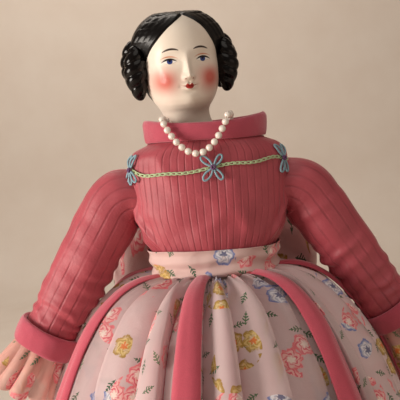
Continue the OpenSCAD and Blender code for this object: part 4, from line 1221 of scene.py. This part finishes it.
class DOLL_OT_cuffs(Operator):
    """Turn back the thick cuffs"""

    bl_idname = "doll.cuffs"
    bl_label = "Cuffs"

    def execute(self, context):
        flannel = brushed_flannel("Brushed flannel", context.scene.doll_colours.flannel)
        for number, side in enumerate(SIDES):
            turn = full_turn(36)[:, None]
            phi = full_turn(160)[None]
            out = powered(np.cos(turn), 0.75)
            rise = powered(np.sin(turn), 0.6)
            wave = noise(phi * 9 / TURN, 0 * phi, 31 + number, 9)
            lump = noise(phi * 26 / TURN, turn, 33 + number, 26)
            radius = 17.3 + 1.7 * out * (1 + 0.15 * wave) + 0.5 * wave + 0.25 * lump
            radius = radius + (0.9 * step(-1, 1, -rise) - 0.2) * (1 + out) / 2
            s = CUFF_TOP + ALONG + CUFF_W / 2 + (CUFF_W / 2 + 0.6 * wave) * rise
            points = arm_points(s + 0 * phi, phi + 0 * s, radius)
            if SIDES[side] < 0:
                points = mirrored(points)
            cuff = grid(f"{side}_cuff_roll", points[:, ::-1], around=True, ring=True)
            place(cuff, flannel, f"{side}_forearm_body", "pink_flannel", f"{side}_cuff")
        return {"FINISHED"}


class DOLL_OT_frills(Operator):
    """Gather the voile frills into the cuffs"""

    bl_idname = "doll.frills"
    bl_label = "Wrist frills"

    def execute(self, context):
        voile = printed_voile("Printed voile, frills", linear("#e3a99c"), 0.8)
        for number, side in enumerate(SIDES):
            rows, cols = 60, 420
            t = np.linspace(0, 1, rows)[:, None]
            phi = full_turn(cols)[None]
            waves = 11
            wobble = phi + 0.10 * noise(phi * 8 / TURN, 0 * phi, 91 + number, 8)
            swing = 0.35 * noise(phi * 6 / TURN, t * 1.5, 93 + number, 6)
            fold = np.cos(waves * wobble + swing)
            lean = np.sin(waves * wobble + swing)
            radius = 13.9 + 5.8 * t**0.9 + (0.5 + 3.0 * t) * fold
            radius = radius + 0.5 * noise(phi * 30 / TURN, t * 6, 95 + number, 30) * t
            angle = phi + 0.11 * t * lean
            s = CUFF_TOP + ALONG + CUFF_W - 4 + 30 * t + 0.8 * fold * t
            points = arm_points(s, angle, radius)
            u = np.linspace(0, 175, cols + 1)[None]
            uv = stack(u, 30 * t + 300 * number)
            if SIDES[side] < 0:
                points, uv = mirrored(points), uv[:, ::-1]
            frill = grid(f"{side}_frill_cloth", points[:, ::-1], uv[:, ::-1], around=True)
            place(frill, voile, f"{side}_forearm_body", "floral_voile", f"{side}_frill")
        return {"FINISHED"}


class DOLL_OT_hands(Operator):
    """Stitch the kid-leather forearms and hands"""

    bl_idname = "doll.hands"
    bl_label = "Leather hands"

    def execute(self, context):
        leather = kid_leather("Kid leather")
        for side in SIDES:
            hand = softened(f"{side}_leather_hand", f"{side}_forearm", 0.45, 5)
            place(hand, leather, f"{side}_forearm_body", "kid_leather", f"{side}_forearm")
        return {"FINISHED"}


# ---- sash and bow ----------------------------------------------------------------------------


class DOLL_OT_sash(Operator):
    """Wrap the sash and tie its bow at the back"""

    bl_idname = "doll.sash"
    bl_label = "Sash and bow"

    def execute(self, context):
        tones = context.scene.doll_colours
        ribbon = printed_voile("Printed organza ribbon", tones.ribbon, 0.84)
        foot, top = low("sash", 2), high("sash", 2)
        t, _ = even_angles(480)
        z = np.linspace(foot, top, 44)
        tt, zz = np.meshgrid(t[:-1], z)
        level = np.clip(zz, SEAM, None)
        u = tt * 36
        pleats = 0.75 * np.sin((zz - foot) * TURN / 8 + 1.5 * noise(tt * 10 / TURN, 0 * tt, 61, 10))
        out = 1.7 + pleats + 1.0 * noise(u / 16 + zz / 30, zz / 6, 62) + 0.4 * noise(u / 6, zz / 9, 63)
        out = out + 0.8 * bump(zz - foot - 2, 1.6)
        points = bodice_point(tt, level, 0) + bodice_out(tt, level) * out[..., None]
        points[..., 2] = zz + 0.9 * np.sin(tt - 0.4) + 0.5 * noise(tt * 9 / TURN, 0 * tt, 64, 9)
        uv = stack(np.linspace(0, 212, 481)[None] + 16, z[:, None] - foot + 7)
        band = grid("sash_ribbon", points, uv, around=True)
        thicken(band, 0.3)
        place(band, ribbon, "torso", "floral_organza", "sash")
        self.knot(ribbon)
        for side in SIDES:
            self.loop(side, ribbon)
            self.tail(side, ribbon)
        return {"FINISHED"}

    def knot(self, ribbon):
        lo, hi = (np.array(corner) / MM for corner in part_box("bow_knot"))
        middle, half = (lo + hi) / 2, (hi - lo) / 2
        rows, cols = 40, 48
        v = np.linspace(-1, 1, rows)[:, None]
        phi = full_turn(cols)[None]
        puff = 0.72 + 0.28 * np.sqrt(1 - v**2) + 0.05 * np.sin(5 * phi + 3 * v)
        points = stack(middle[0] + half[0] * puff * np.cos(phi) * 0.95,
                       middle[1] + half[1] * puff * np.sin(phi), middle[2] + half[2] * v * 0.92)
        uv = stack(np.linspace(0, 36, cols + 1)[None], 8.5 * (v + 1))
        knot = grid("bow_knot_ribbon", points, uv, around=True)
        place(knot, ribbon, "torso", "floral_organza", "bow_knot")
        thicken(knot, 0.3)

    def loop(self, side, ribbon):
        lo, hi = (np.array(corner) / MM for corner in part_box("bow_left_loop"))
        root, tip = lo[0] - 3, hi[0] + 8
        rows, cols = 46, 150
        w = np.linspace(-1, 1, rows)[:, None]
        t = np.linspace(0, 1, cols)[None]
        out_way = np.sin(math.pi * t) ** 0.62
        x = root + (tip - root) * out_way
        swell = np.sin(math.pi * t) ** 0.8
        y = (lo[1] + hi[1]) / 2 - 7.5 * np.sin(TURN * t) * (0.35 + 0.65 * swell)
        half = 4.0 + 14.0 * step(0.0, 0.5, out_way) + 0.8 * np.sin(6 * t)
        z = (lo[2] + hi[2]) / 2 - 2.0 - 7.0 * out_way**2 + w * half
        number = 0 if side == "left" else 5
        crumple = noise(t * 9, w * 2.6, 65 + number) * 1.9 * swell
        y = y + crumple + 1.2 * np.cos(w * 5 + 2 * t) * (1 - out_way)
        x = x + 1.6 * w * w * step(0.5, 1, out_way) * -1 + 0.6 * noise(t * 5, w * 3, 66 + number)
        points = stack(x + 0 * w, y + 0 * w, z + 0.8 * noise(t * 6, w, 67 + number))
        uv = stack(110 * t + 0 * w + 40 * number, 17 * w / 2 + 8.5 + 60 + 0 * t)
        if SIDES[side] < 0:
            points, uv = mirrored(points), uv[:, ::-1]
        loop = grid(f"bow_{side}_loop_ribbon", points, uv)
        thicken(loop, 0.25, 0)
        place(loop, ribbon, "torso", "floral_organza", f"bow_{side}_loop")

    def tail(self, side, ribbon):
        rows, cols = 90, 26
        s = np.linspace(0.06, 0.64, rows)[:, None]
        w = np.linspace(-1, 1, cols)[None]
        r = skirt_profile(s)[0]
        out = 3.4 + 1.3 * np.sin(s * 26 + (0 if side == "left" else 2)) + 0.9 * np.cos(w * 4 + s * 9)
        out = out + fold_height(s) * 0.9
        sideways = 5.5 + 9 * s + w * (5.5 + 3 * s) + 2.5 * np.sin(s * 9)
        angle = math.pi / 2 - sideways / r
        points = on_bell(s, angle, out, 2.0 * np.abs(w) * step(0.6, 0.64, s))
        if SIDES[side] < 0:
            points = points * np.array([-1, 1, 1])
        else:
            points = points[:, ::-1]
        uv = stack(8.5 * w + 8.5 + 0 * s, 160 * s + 25 + 0 * w)
        tail = grid(f"bow_{side}_tail_ribbon", points[::-1], uv[::-1])
        thicken(tail, 0.25, 0)
        place(tail, ribbon, "torso", "floral_organza", f"bow_{side}_tail")


# ---- skirts ----------------------------------------------------------------------------------

WAIST_R = high("skirt_waistband", 0)
WAIST_GIRTH = 181
SKIRT_TOP = high("skirt", 2) - 0.6
SKIRT_LENGTH = 232  # along the cloth, from waist to floor
BELL = np.array([[WAIST_R, SKIRT_TOP], [84, SKIRT_TOP + 4.6], [100, 0.57 * SKIRT_TOP], [HEM - 2, 0]])


def skirt_profile(s):
    """Radius and height of the skirt's bell, s from 0 at the waist to 1 at the hem."""
    s = np.asarray(s, float)
    terms = [(1 - s) ** 3, 3 * (1 - s) ** 2 * s, 3 * (1 - s) * s**2, s**3]
    return tuple(sum(term * point[k] for term, point in zip(terms, BELL)) for k in (0, 1))


def about_axis(radius, angle, z):
    return stack(radius * np.cos(angle), radius * np.sin(angle), z)


def on_bell(s, angle, lift, droop=0.0):
    """Points that stand lift off the skirt's bell, and nowhere under the floor."""
    (r0, z0), (r1, z1) = skirt_profile(s - 0.004), skirt_profile(s + 0.004)
    (r, z), normal = skirt_profile(s), unit(stack(z0 - z1, r1 - r0))
    height = np.maximum(z + normal[..., 1] * lift - droop, 0)
    return about_axis(r + normal[..., 0] * lift, angle, height)


def fold_height(s):
    """Height of the folds above the bell."""
    deep = bpy.context.scene.doll_sizes.fold_depth / MM
    return deep * through([(0, 0.06), (0.06, 0.2), (0.2, 0.48), (0.45, 0.72), (0.75, 0.92), (1, 1)], s)


def band_angle(k):
    return FRONT + math.radians(-13) + TURN * k / bpy.context.scene.doll_sizes.bands


def fold_table():
    """Angle of every fold's crest, with a flag for the crests that a band lies on."""
    sizes = bpy.context.scene.doll_sizes
    draws = np.random.default_rng(7)
    crests = []
    for k in range(sizes.bands):
        start, gap = band_angle(k), TURN / sizes.bands
        crests.append((start, True))
        shares = np.cumsum(draws.uniform(0.75, 1.3, sizes.folds))
        shares = shares / (shares[-1] + draws.uniform(0.85, 1.1))
        crests += [(start + gap * share, False) for share in shares]
    return crests


def hanging(rows, cols, out=0.0, depth=1.0, hem=1.0, seed=1, lap=1.0):
    """Points and cloth places of one gathered skirt layer."""
    crests = fold_table()
    middles = np.array([c for c, _ in crests])
    count = len(middles)
    knots = np.concatenate([middles, [middles[0] + TURN]])
    share = np.linspace(0, count, cols + 1)
    angle = np.interp(share, np.arange(count + 1), knots)
    phase = share * TURN
    s = (np.linspace(0, 1, rows) ** 1.15 * hem)[:, None]
    high_fold = fold_height(s) * depth
    which = np.round(share).astype(int) % count
    draws = np.random.default_rng(seed)
    strength = draws.uniform(0.75, 1.35, count)
    strength = np.where([band for _, band in crests], 0.85, strength)[which]
    lean = np.array([0.0 if band else 1.0 for _, band in crests])
    lean = lean * draws.uniform(0.5, 1.25, count) * np.where(draws.uniform(size=count) < 0.5, 1, -1)
    lean = np.interp(share, np.arange(count + 1), np.append(lean, lean[0]))
    tilt = 0.5 * noise(share * 12 / count, s * 2.2, seed + 2, 12)
    fold = np.cos(phase + tilt)
    rise = high_fold * (0.15 + 0.85 * fold * strength)
    fine = 0.55 * noise(share * 3, s * 3, seed + 3, 3 * count) * high_fold * 0.35
    gathers = 1.1 * np.cos(phase * 4 + 2 * noise(share, 0 * share, seed + 4, count))
    gathers = gathers * bump(s - 0.02, 0.09) * step(0, 0.03, s) * min(1, depth)
    waves = 0.9 * noise(share * 2, s * 9, seed + 5, 2 * count) * step(0.05, 0.3, s) * depth
    lift = out + rise + fine + gathers + waves
    shift = lap * (lean * fold * 0.95 + 0.35 * np.sin(phase + tilt)) * high_fold * step(0.02, 0.3, s)
    points = on_bell(s, angle + shift / np.maximum(skirt_profile(s)[0], 20), lift)
    points[-1, :, 2] = 0.0 if hem == 1.0 else points[-1, :, 2]
    bulk = 0.5 * np.abs(np.sin(phase + tilt)) + 0.5 * draws.uniform(0.0, 1.0, count)[which]
    bulk = np.clip(bulk + 0.3 * noise(share * 2, s * 5, seed + 6, 2 * count), 0, 1)
    return points[:, :-1], share, s, bulk[:, :-1]


def set_strip_uv(thing, points, share, s):
    """Cloth places for each quad, measured along the cloth from its own fold's crest.

    The layer is broken in the valleys, where the cloth turns under."""
    rows, cols = points.shape[:2]
    ring = np.concatenate([points, points[:, :1]], 1)
    hops = np.linalg.norm(np.diff(ring, axis=1), axis=2)
    run = np.concatenate([np.zeros((rows, 1)), np.cumsum(hops, 1)], 1)
    strip = np.floor((share[:-1] + share[1:]) / 2 + 0.5)
    crest = run[:, np.round(strip * cols / share[-1]).astype(int)]
    length = SKIRT_LENGTH * (0.42 * s + 0.58 * s**2) + 17 * np.sin(strip * 2.4)
    left, right = (stack(edge - crest + 47.0 * strip, length) for edge in (run[:, :-1], run[:, 1:]))
    corners = np.stack([left[:-1], right[:-1], right[1:], left[1:]], 2)
    return thing.data.uv_layers.new(name="Cloth"), corners


def skirt_grid(name, rows, cols, **how):
    """One gathered skirt layer as an object with its cloth places."""
    points, share, s, bulk = hanging(rows, cols, **how)
    thing = grid(name, points[::-1], around=True)
    layer, corners = set_strip_uv(thing, points, share, s)
    flipped = corners[::-1][:, :, [3, 2, 1, 0]]
    layer.data.foreach_set("uv", (flipped * MM).ravel())
    thing.data.attributes.new("gathered", "FLOAT", "POINT").data.foreach_set(
        "value", bulk[::-1].astype(np.float32).ravel())
    return thing


class DOLL_OT_skirt(Operator):
    """Gather the printed voile skirt with its plain bands"""

    bl_idname = "doll.skirt"
    bl_label = "Voile skirt and bands"

    def execute(self, context):
        tones, sizes = context.scene.doll_colours, context.scene.doll_sizes
        voile = skirt_grid("skirt_voile", 150, 1344, seed=11)
        place(voile, printed_voile("Printed voile, skirt", tones.voile, 0.4, 0.5), "torso",
              "floral_voile", "skirt")
        self.waistband(tones)
        strips = []
        for k in range(sizes.bands):
            rows, cols = 130, 26
            s = np.linspace(0.015, 0.996, rows)[:, None]
            w = np.linspace(-1, 1, cols)[None]
            half = 3.7 + 6.9 * s
            roll = np.sqrt(np.clip(1 - (w * 0.97) ** 2, 0, 1))
            wave = 0.7 * noise(w * 1.5 + 3, s * 9, 81 + k)
            lift = fold_height(s) * 0.95 - 0.6 + (2.5 + 2.2 * s) * roll + wave
            drift = 2.2 * np.sin(s * 5 + k * 1.7) * s
            angle = band_angle(k) + (w * half + drift) / skirt_profile(s)[0]
            strips.append((on_bell(s, angle, lift)[::-1], grid_faces(rows, cols)))
        bands = joined("skirt_band_strips", strips)
        thicken(bands, 0.5)
        place(bands, brushed_flannel("Plain pink cotton", tones.band), "torso", "pink_crepe",
              "skirt_bands")
        return {"FINISHED"}

    def waistband(self, tones):
        t = full_turn(160)[None]
        z = np.linspace(low("skirt_waistband", 2), high("skirt_waistband", 2), 8)[:, None]
        radius = WAIST_R + 0.15 * np.cos(t * 60)
        points = about_axis(radius, t, z)
        uv = stack(np.linspace(0, WAIST_GIRTH, 161)[None], z)
        band = grid("skirt_waistband_cloth", points, uv, around=True)
        thicken(band, 1.0)
        place(band, printed_voile("Printed voile, waistband", tones.voile, 0.9), "torso",
              "floral_voile", "skirt_waistband")


class DOLL_OT_underskirts(Operator):
    """Hang the dusky-pink underskirt and the white petticoat with its hem ruffle"""

    bl_idname = "doll.underskirts"
    bl_label = "Underskirt and petticoat"

    def execute(self, context):
        tones = context.scene.doll_colours
        under = skirt_grid("underskirt_cloth", 90, 900, out=-3.2, depth=0.45, hem=0.985, seed=31,
                           lap=0.2)
        place(under, plain_cotton("Pink cotton lining", tones.lining, 0.5), "torso",
              "pink_lining", "underskirt")
        petticoat = skirt_grid("petticoat_cloth", 80, 720, out=-5.4, depth=0.3, hem=0.975,
                               seed=41, lap=0.1)
        thicken(petticoat, 0.4)
        lawn = plain_cotton(*LAWN)
        place(petticoat, lawn, "torso", "white_cotton", "petticoat")
        self.hem_ruffle(lawn)
        finish_node("petticoat_waistband", lawn)
        return {"FINISHED"}

    def hem_ruffle(self, lawn):
        rows, cols = 16, 900
        s = np.linspace(0.87, 0.975, rows)[:, None]
        t = full_turn(cols)[None]
        r, z = skirt_profile(s)
        drop = (s - 0.87) / 0.105
        inward = 8.6 + 1.3 * drop * np.cos(70 * t + np.sin(5 * t)) + 1.2 * drop
        scallop = 1.6 * np.abs(np.sin(35 * t)) * step(0.8, 1, drop)
        points = about_axis(r - inward, t, np.maximum(z - 1.5 + scallop, 0.3))
        ruffle = grid("petticoat_ruffle", points[::-1], around=True)
        thicken(ruffle, 0.3)
        place(ruffle, lawn, "torso", "white_cotton", "petticoat")


# ---- stuffed body and legs -------------------------------------------------------------------


class DOLL_OT_stuffed_body(Operator):
    """Stuff the calico torso and limbs"""

    bl_idname = "doll.stuffed_body"
    bl_label = "Stuffed body"

    def execute(self, context):
        calico = plain_cotton("Unbleached calico", "#e2d4b8")
        torso = softened("torso_calico", "torso", 1.2, 4)
        place(torso, calico, "torso", "calico", "torso")
        for side in SIDES:
            for part, body in (("upper_arm", "upper_arm_body"), ("thigh", "thigh_body"),
                               ("calf", "shin_body")):
                limb = softened(f"{side}_{part}_calico", f"{side}_{part}", 0.7, 4)
                place(limb, calico, f"{side}_{body}", "calico", f"{side}_{part}")
        finish_node("sew_ties", cotton_floss(*LINEN))
        return {"FINISHED"}


class DOLL_OT_legs(Operator):
    """Glaze the china shins and sew the drawers"""

    bl_idname = "doll.legs"
    bl_label = "China shins and drawers"

    def execute(self, context):
        lawn = plain_cotton(*LAWN)
        boot = painted_boot("Painted china boot")
        thread = cotton_floss(*LINEN)
        finish_node("drawers_yoke", lawn)
        for side in SIDES:
            shin = softened(f"{side}_shin_glazed", f"{side}_china_shin", 0.4, 3)
            place(shin, boot, f"{side}_shin_body", "glazed_porcelain", f"{side}_china_shin")
            finish_node(f"{side}_shin_tie", thread)
            self.drawers(side, lawn)
        return {"FINISHED"}

    def drawers(self, side, lawn):
        node = f"{side}_drawers_leg"
        lo, hi = (np.array(corner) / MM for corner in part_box(node))
        middle = (lo + hi) / 2
        t = full_turn(200)[None]
        s = np.linspace(0, 1, 60)[:, None]
        flare = (hi[0] - lo[0]) / 2
        radius = flare - 2.0 * s - 0.9 + 0.5 * np.cos(22 * t + np.sin(3 * t)) * (1 - 0.5 * s)
        radius = radius + 0.35 * (np.cos((s - 0.12) * 120) > 0.6) * bump(s - 0.14, 0.06)
        scallop = 1.3 * np.abs(np.sin(12 * t)) * step(0.06, 0, s)
        points = stack(middle[0] + radius * np.cos(t), middle[1] + radius * np.sin(t),
                       lo[2] + (hi[2] - lo[2]) * s + scallop)
        leg = grid(f"{side}_drawers_cloth", points, around=True)
        thicken(leg, 0.35)
        place(leg, lawn, f"{side}_thigh_body", "white_cotton", node)


# ---- stage -----------------------------------------------------------------------------------


WALL_Y = 1390
SWEEP_R = 240  # of the curve in which the paper's floor turns up into its wall


class DOLL_OT_stage(Operator):
    """Set out the pale floor and wall, the soft lights and the camera"""

    bl_idname = "doll.stage"
    bl_label = "Floor, lights and camera"

    def execute(self, context):
        self.backdrop()
        self.lights()
        self.camera(context)
        return {"FINISHED"}

    def backdrop(self):
        foot, bend = WALL_Y - SWEEP_R, np.linspace(0, math.pi / 2, 12)[1:]
        curve = [(foot + SWEEP_R * math.sin(a), SWEEP_R * (1 - math.cos(a))) for a in bend]
        y, z = np.array([(-1600, 0), (foot, 0), *curve, (WALL_Y, 4000)]).T
        x = np.array([-5000.0, 5000.0])
        points = stack(x[None], y[:, None], z[:, None])
        sweep = grid("paper_sweep", points)
        sweep.data.materials.append(grey_paper("Warm grey paper"))

    def lights(self):
        world = bpy.data.worlds.new("Room")
        world.use_nodes = True
        sky = world.node_tree.nodes["Background"]
        sky.inputs[0].default_value = (*linear("#ffeede"), 1)
        sky.inputs[1].default_value = 0.2
        bpy.context.scene.world = world
        doll, wall = (0, 0, 230), (100, WALL_Y, 330)
        lamps = [
            # name, place, what it lights, width in mm, watts, sRGB colour
            ("window", (-760, -330, 270), doll, 400, 7.2, "#fff5ea"),
            ("ceiling", (60, -420, 950), doll, 700, 1.5, "#fff6ec"),
            ("bounce", (620, -500, 200), doll, 700, 0.7, "#ffe3d0"),
            ("wall wash", (-300, 560, 1250), wall, 900, 9.0, "#fff4e8")]
        for name, where, target, size, watts, code in lamps:
            lamp = bpy.data.lights.new(name, "AREA")
            lamp.shape, lamp.size, lamp.energy, lamp.color = "DISK", size * MM, watts, linear(code)
            thing = bpy.data.objects.new(name, lamp)
            bpy.context.collection.objects.link(thing)
            thing.location = Vector(where) * MM
            aim = Vector(target) * MM - thing.location
            thing.rotation_euler = aim.to_track_quat("-Z", "Y").to_euler()

    def camera(self, context):
        aim = Vector((-6, 0, 246)) * MM
        distance, rise, roll = 460 * MM, math.radians(3), math.radians(4.5)
        forward = Vector((0, math.cos(rise), -math.sin(rise)))
        right = Vector((1, 0, 0))
        up = right.cross(forward)
        tilted_up = up * math.cos(roll) + right * math.sin(roll)
        tilted_right = forward.cross(tilted_up)
        lens = bpy.data.cameras.new("camera")
        lens.lens, lens.sensor_width = 70.8, 36
        lens.clip_start = 0.01
        eye = bpy.data.objects.new("camera", lens)
        context.collection.objects.link(eye)
        turn = Matrix((tilted_right, tilted_up, -forward)).transposed().to_4x4()
        eye.matrix_world = Matrix.Translation(aim - forward * distance) @ turn
        context.scene.camera = eye


class DOLL_PT_workshop(Panel):
    """Lists the doll's pieces in the order in which they are made"""

    bl_label = "China head doll"
    bl_idname = "DOLL_PT_workshop"
    bl_space_type = "VIEW_3D"
    bl_region_type = "UI"
    bl_category = "Doll"

    def draw(self, context):
        for group in (context.scene.doll_sizes, context.scene.doll_colours):
            for name in group.bl_rna.properties.keys():
                if name not in ("rna_type", "name"):
                    self.layout.prop(group, name)
        for step_class in MAKING:
            self.layout.operator(step_class.bl_idname)


MAKING = (
    DOLL_OT_stage, DOLL_OT_stuffed_body, DOLL_OT_head, DOLL_OT_bodice, DOLL_OT_collar,
    DOLL_OT_embroidery, DOLL_OT_necklace, DOLL_OT_underskirts, DOLL_OT_skirt, DOLL_OT_sleeves,
    DOLL_OT_cuffs, DOLL_OT_frills, DOLL_OT_hands, DOLL_OT_sash, DOLL_OT_legs)
CLASSES = (DollSizes, DollColours, *MAKING, DOLL_PT_workshop)


def register():
    for one in CLASSES:
        bpy.utils.register_class(one)
    bpy.types.Scene.doll_sizes = PointerProperty(type=DollSizes)
    bpy.types.Scene.doll_colours = PointerProperty(type=DollColours)


def unregister():
    del bpy.types.Scene.doll_sizes
    del bpy.types.Scene.doll_colours
    for one in reversed(CLASSES):
        bpy.utils.unregister_class(one)


def main():
    register()
    bpy.context.scene.view_settings.view_transform = "Standard"
    for one in MAKING:
        group, name = one.bl_idname.split(".")
        getattr(getattr(bpy.ops, group), name)()


if __name__ == "__main__":
    main()
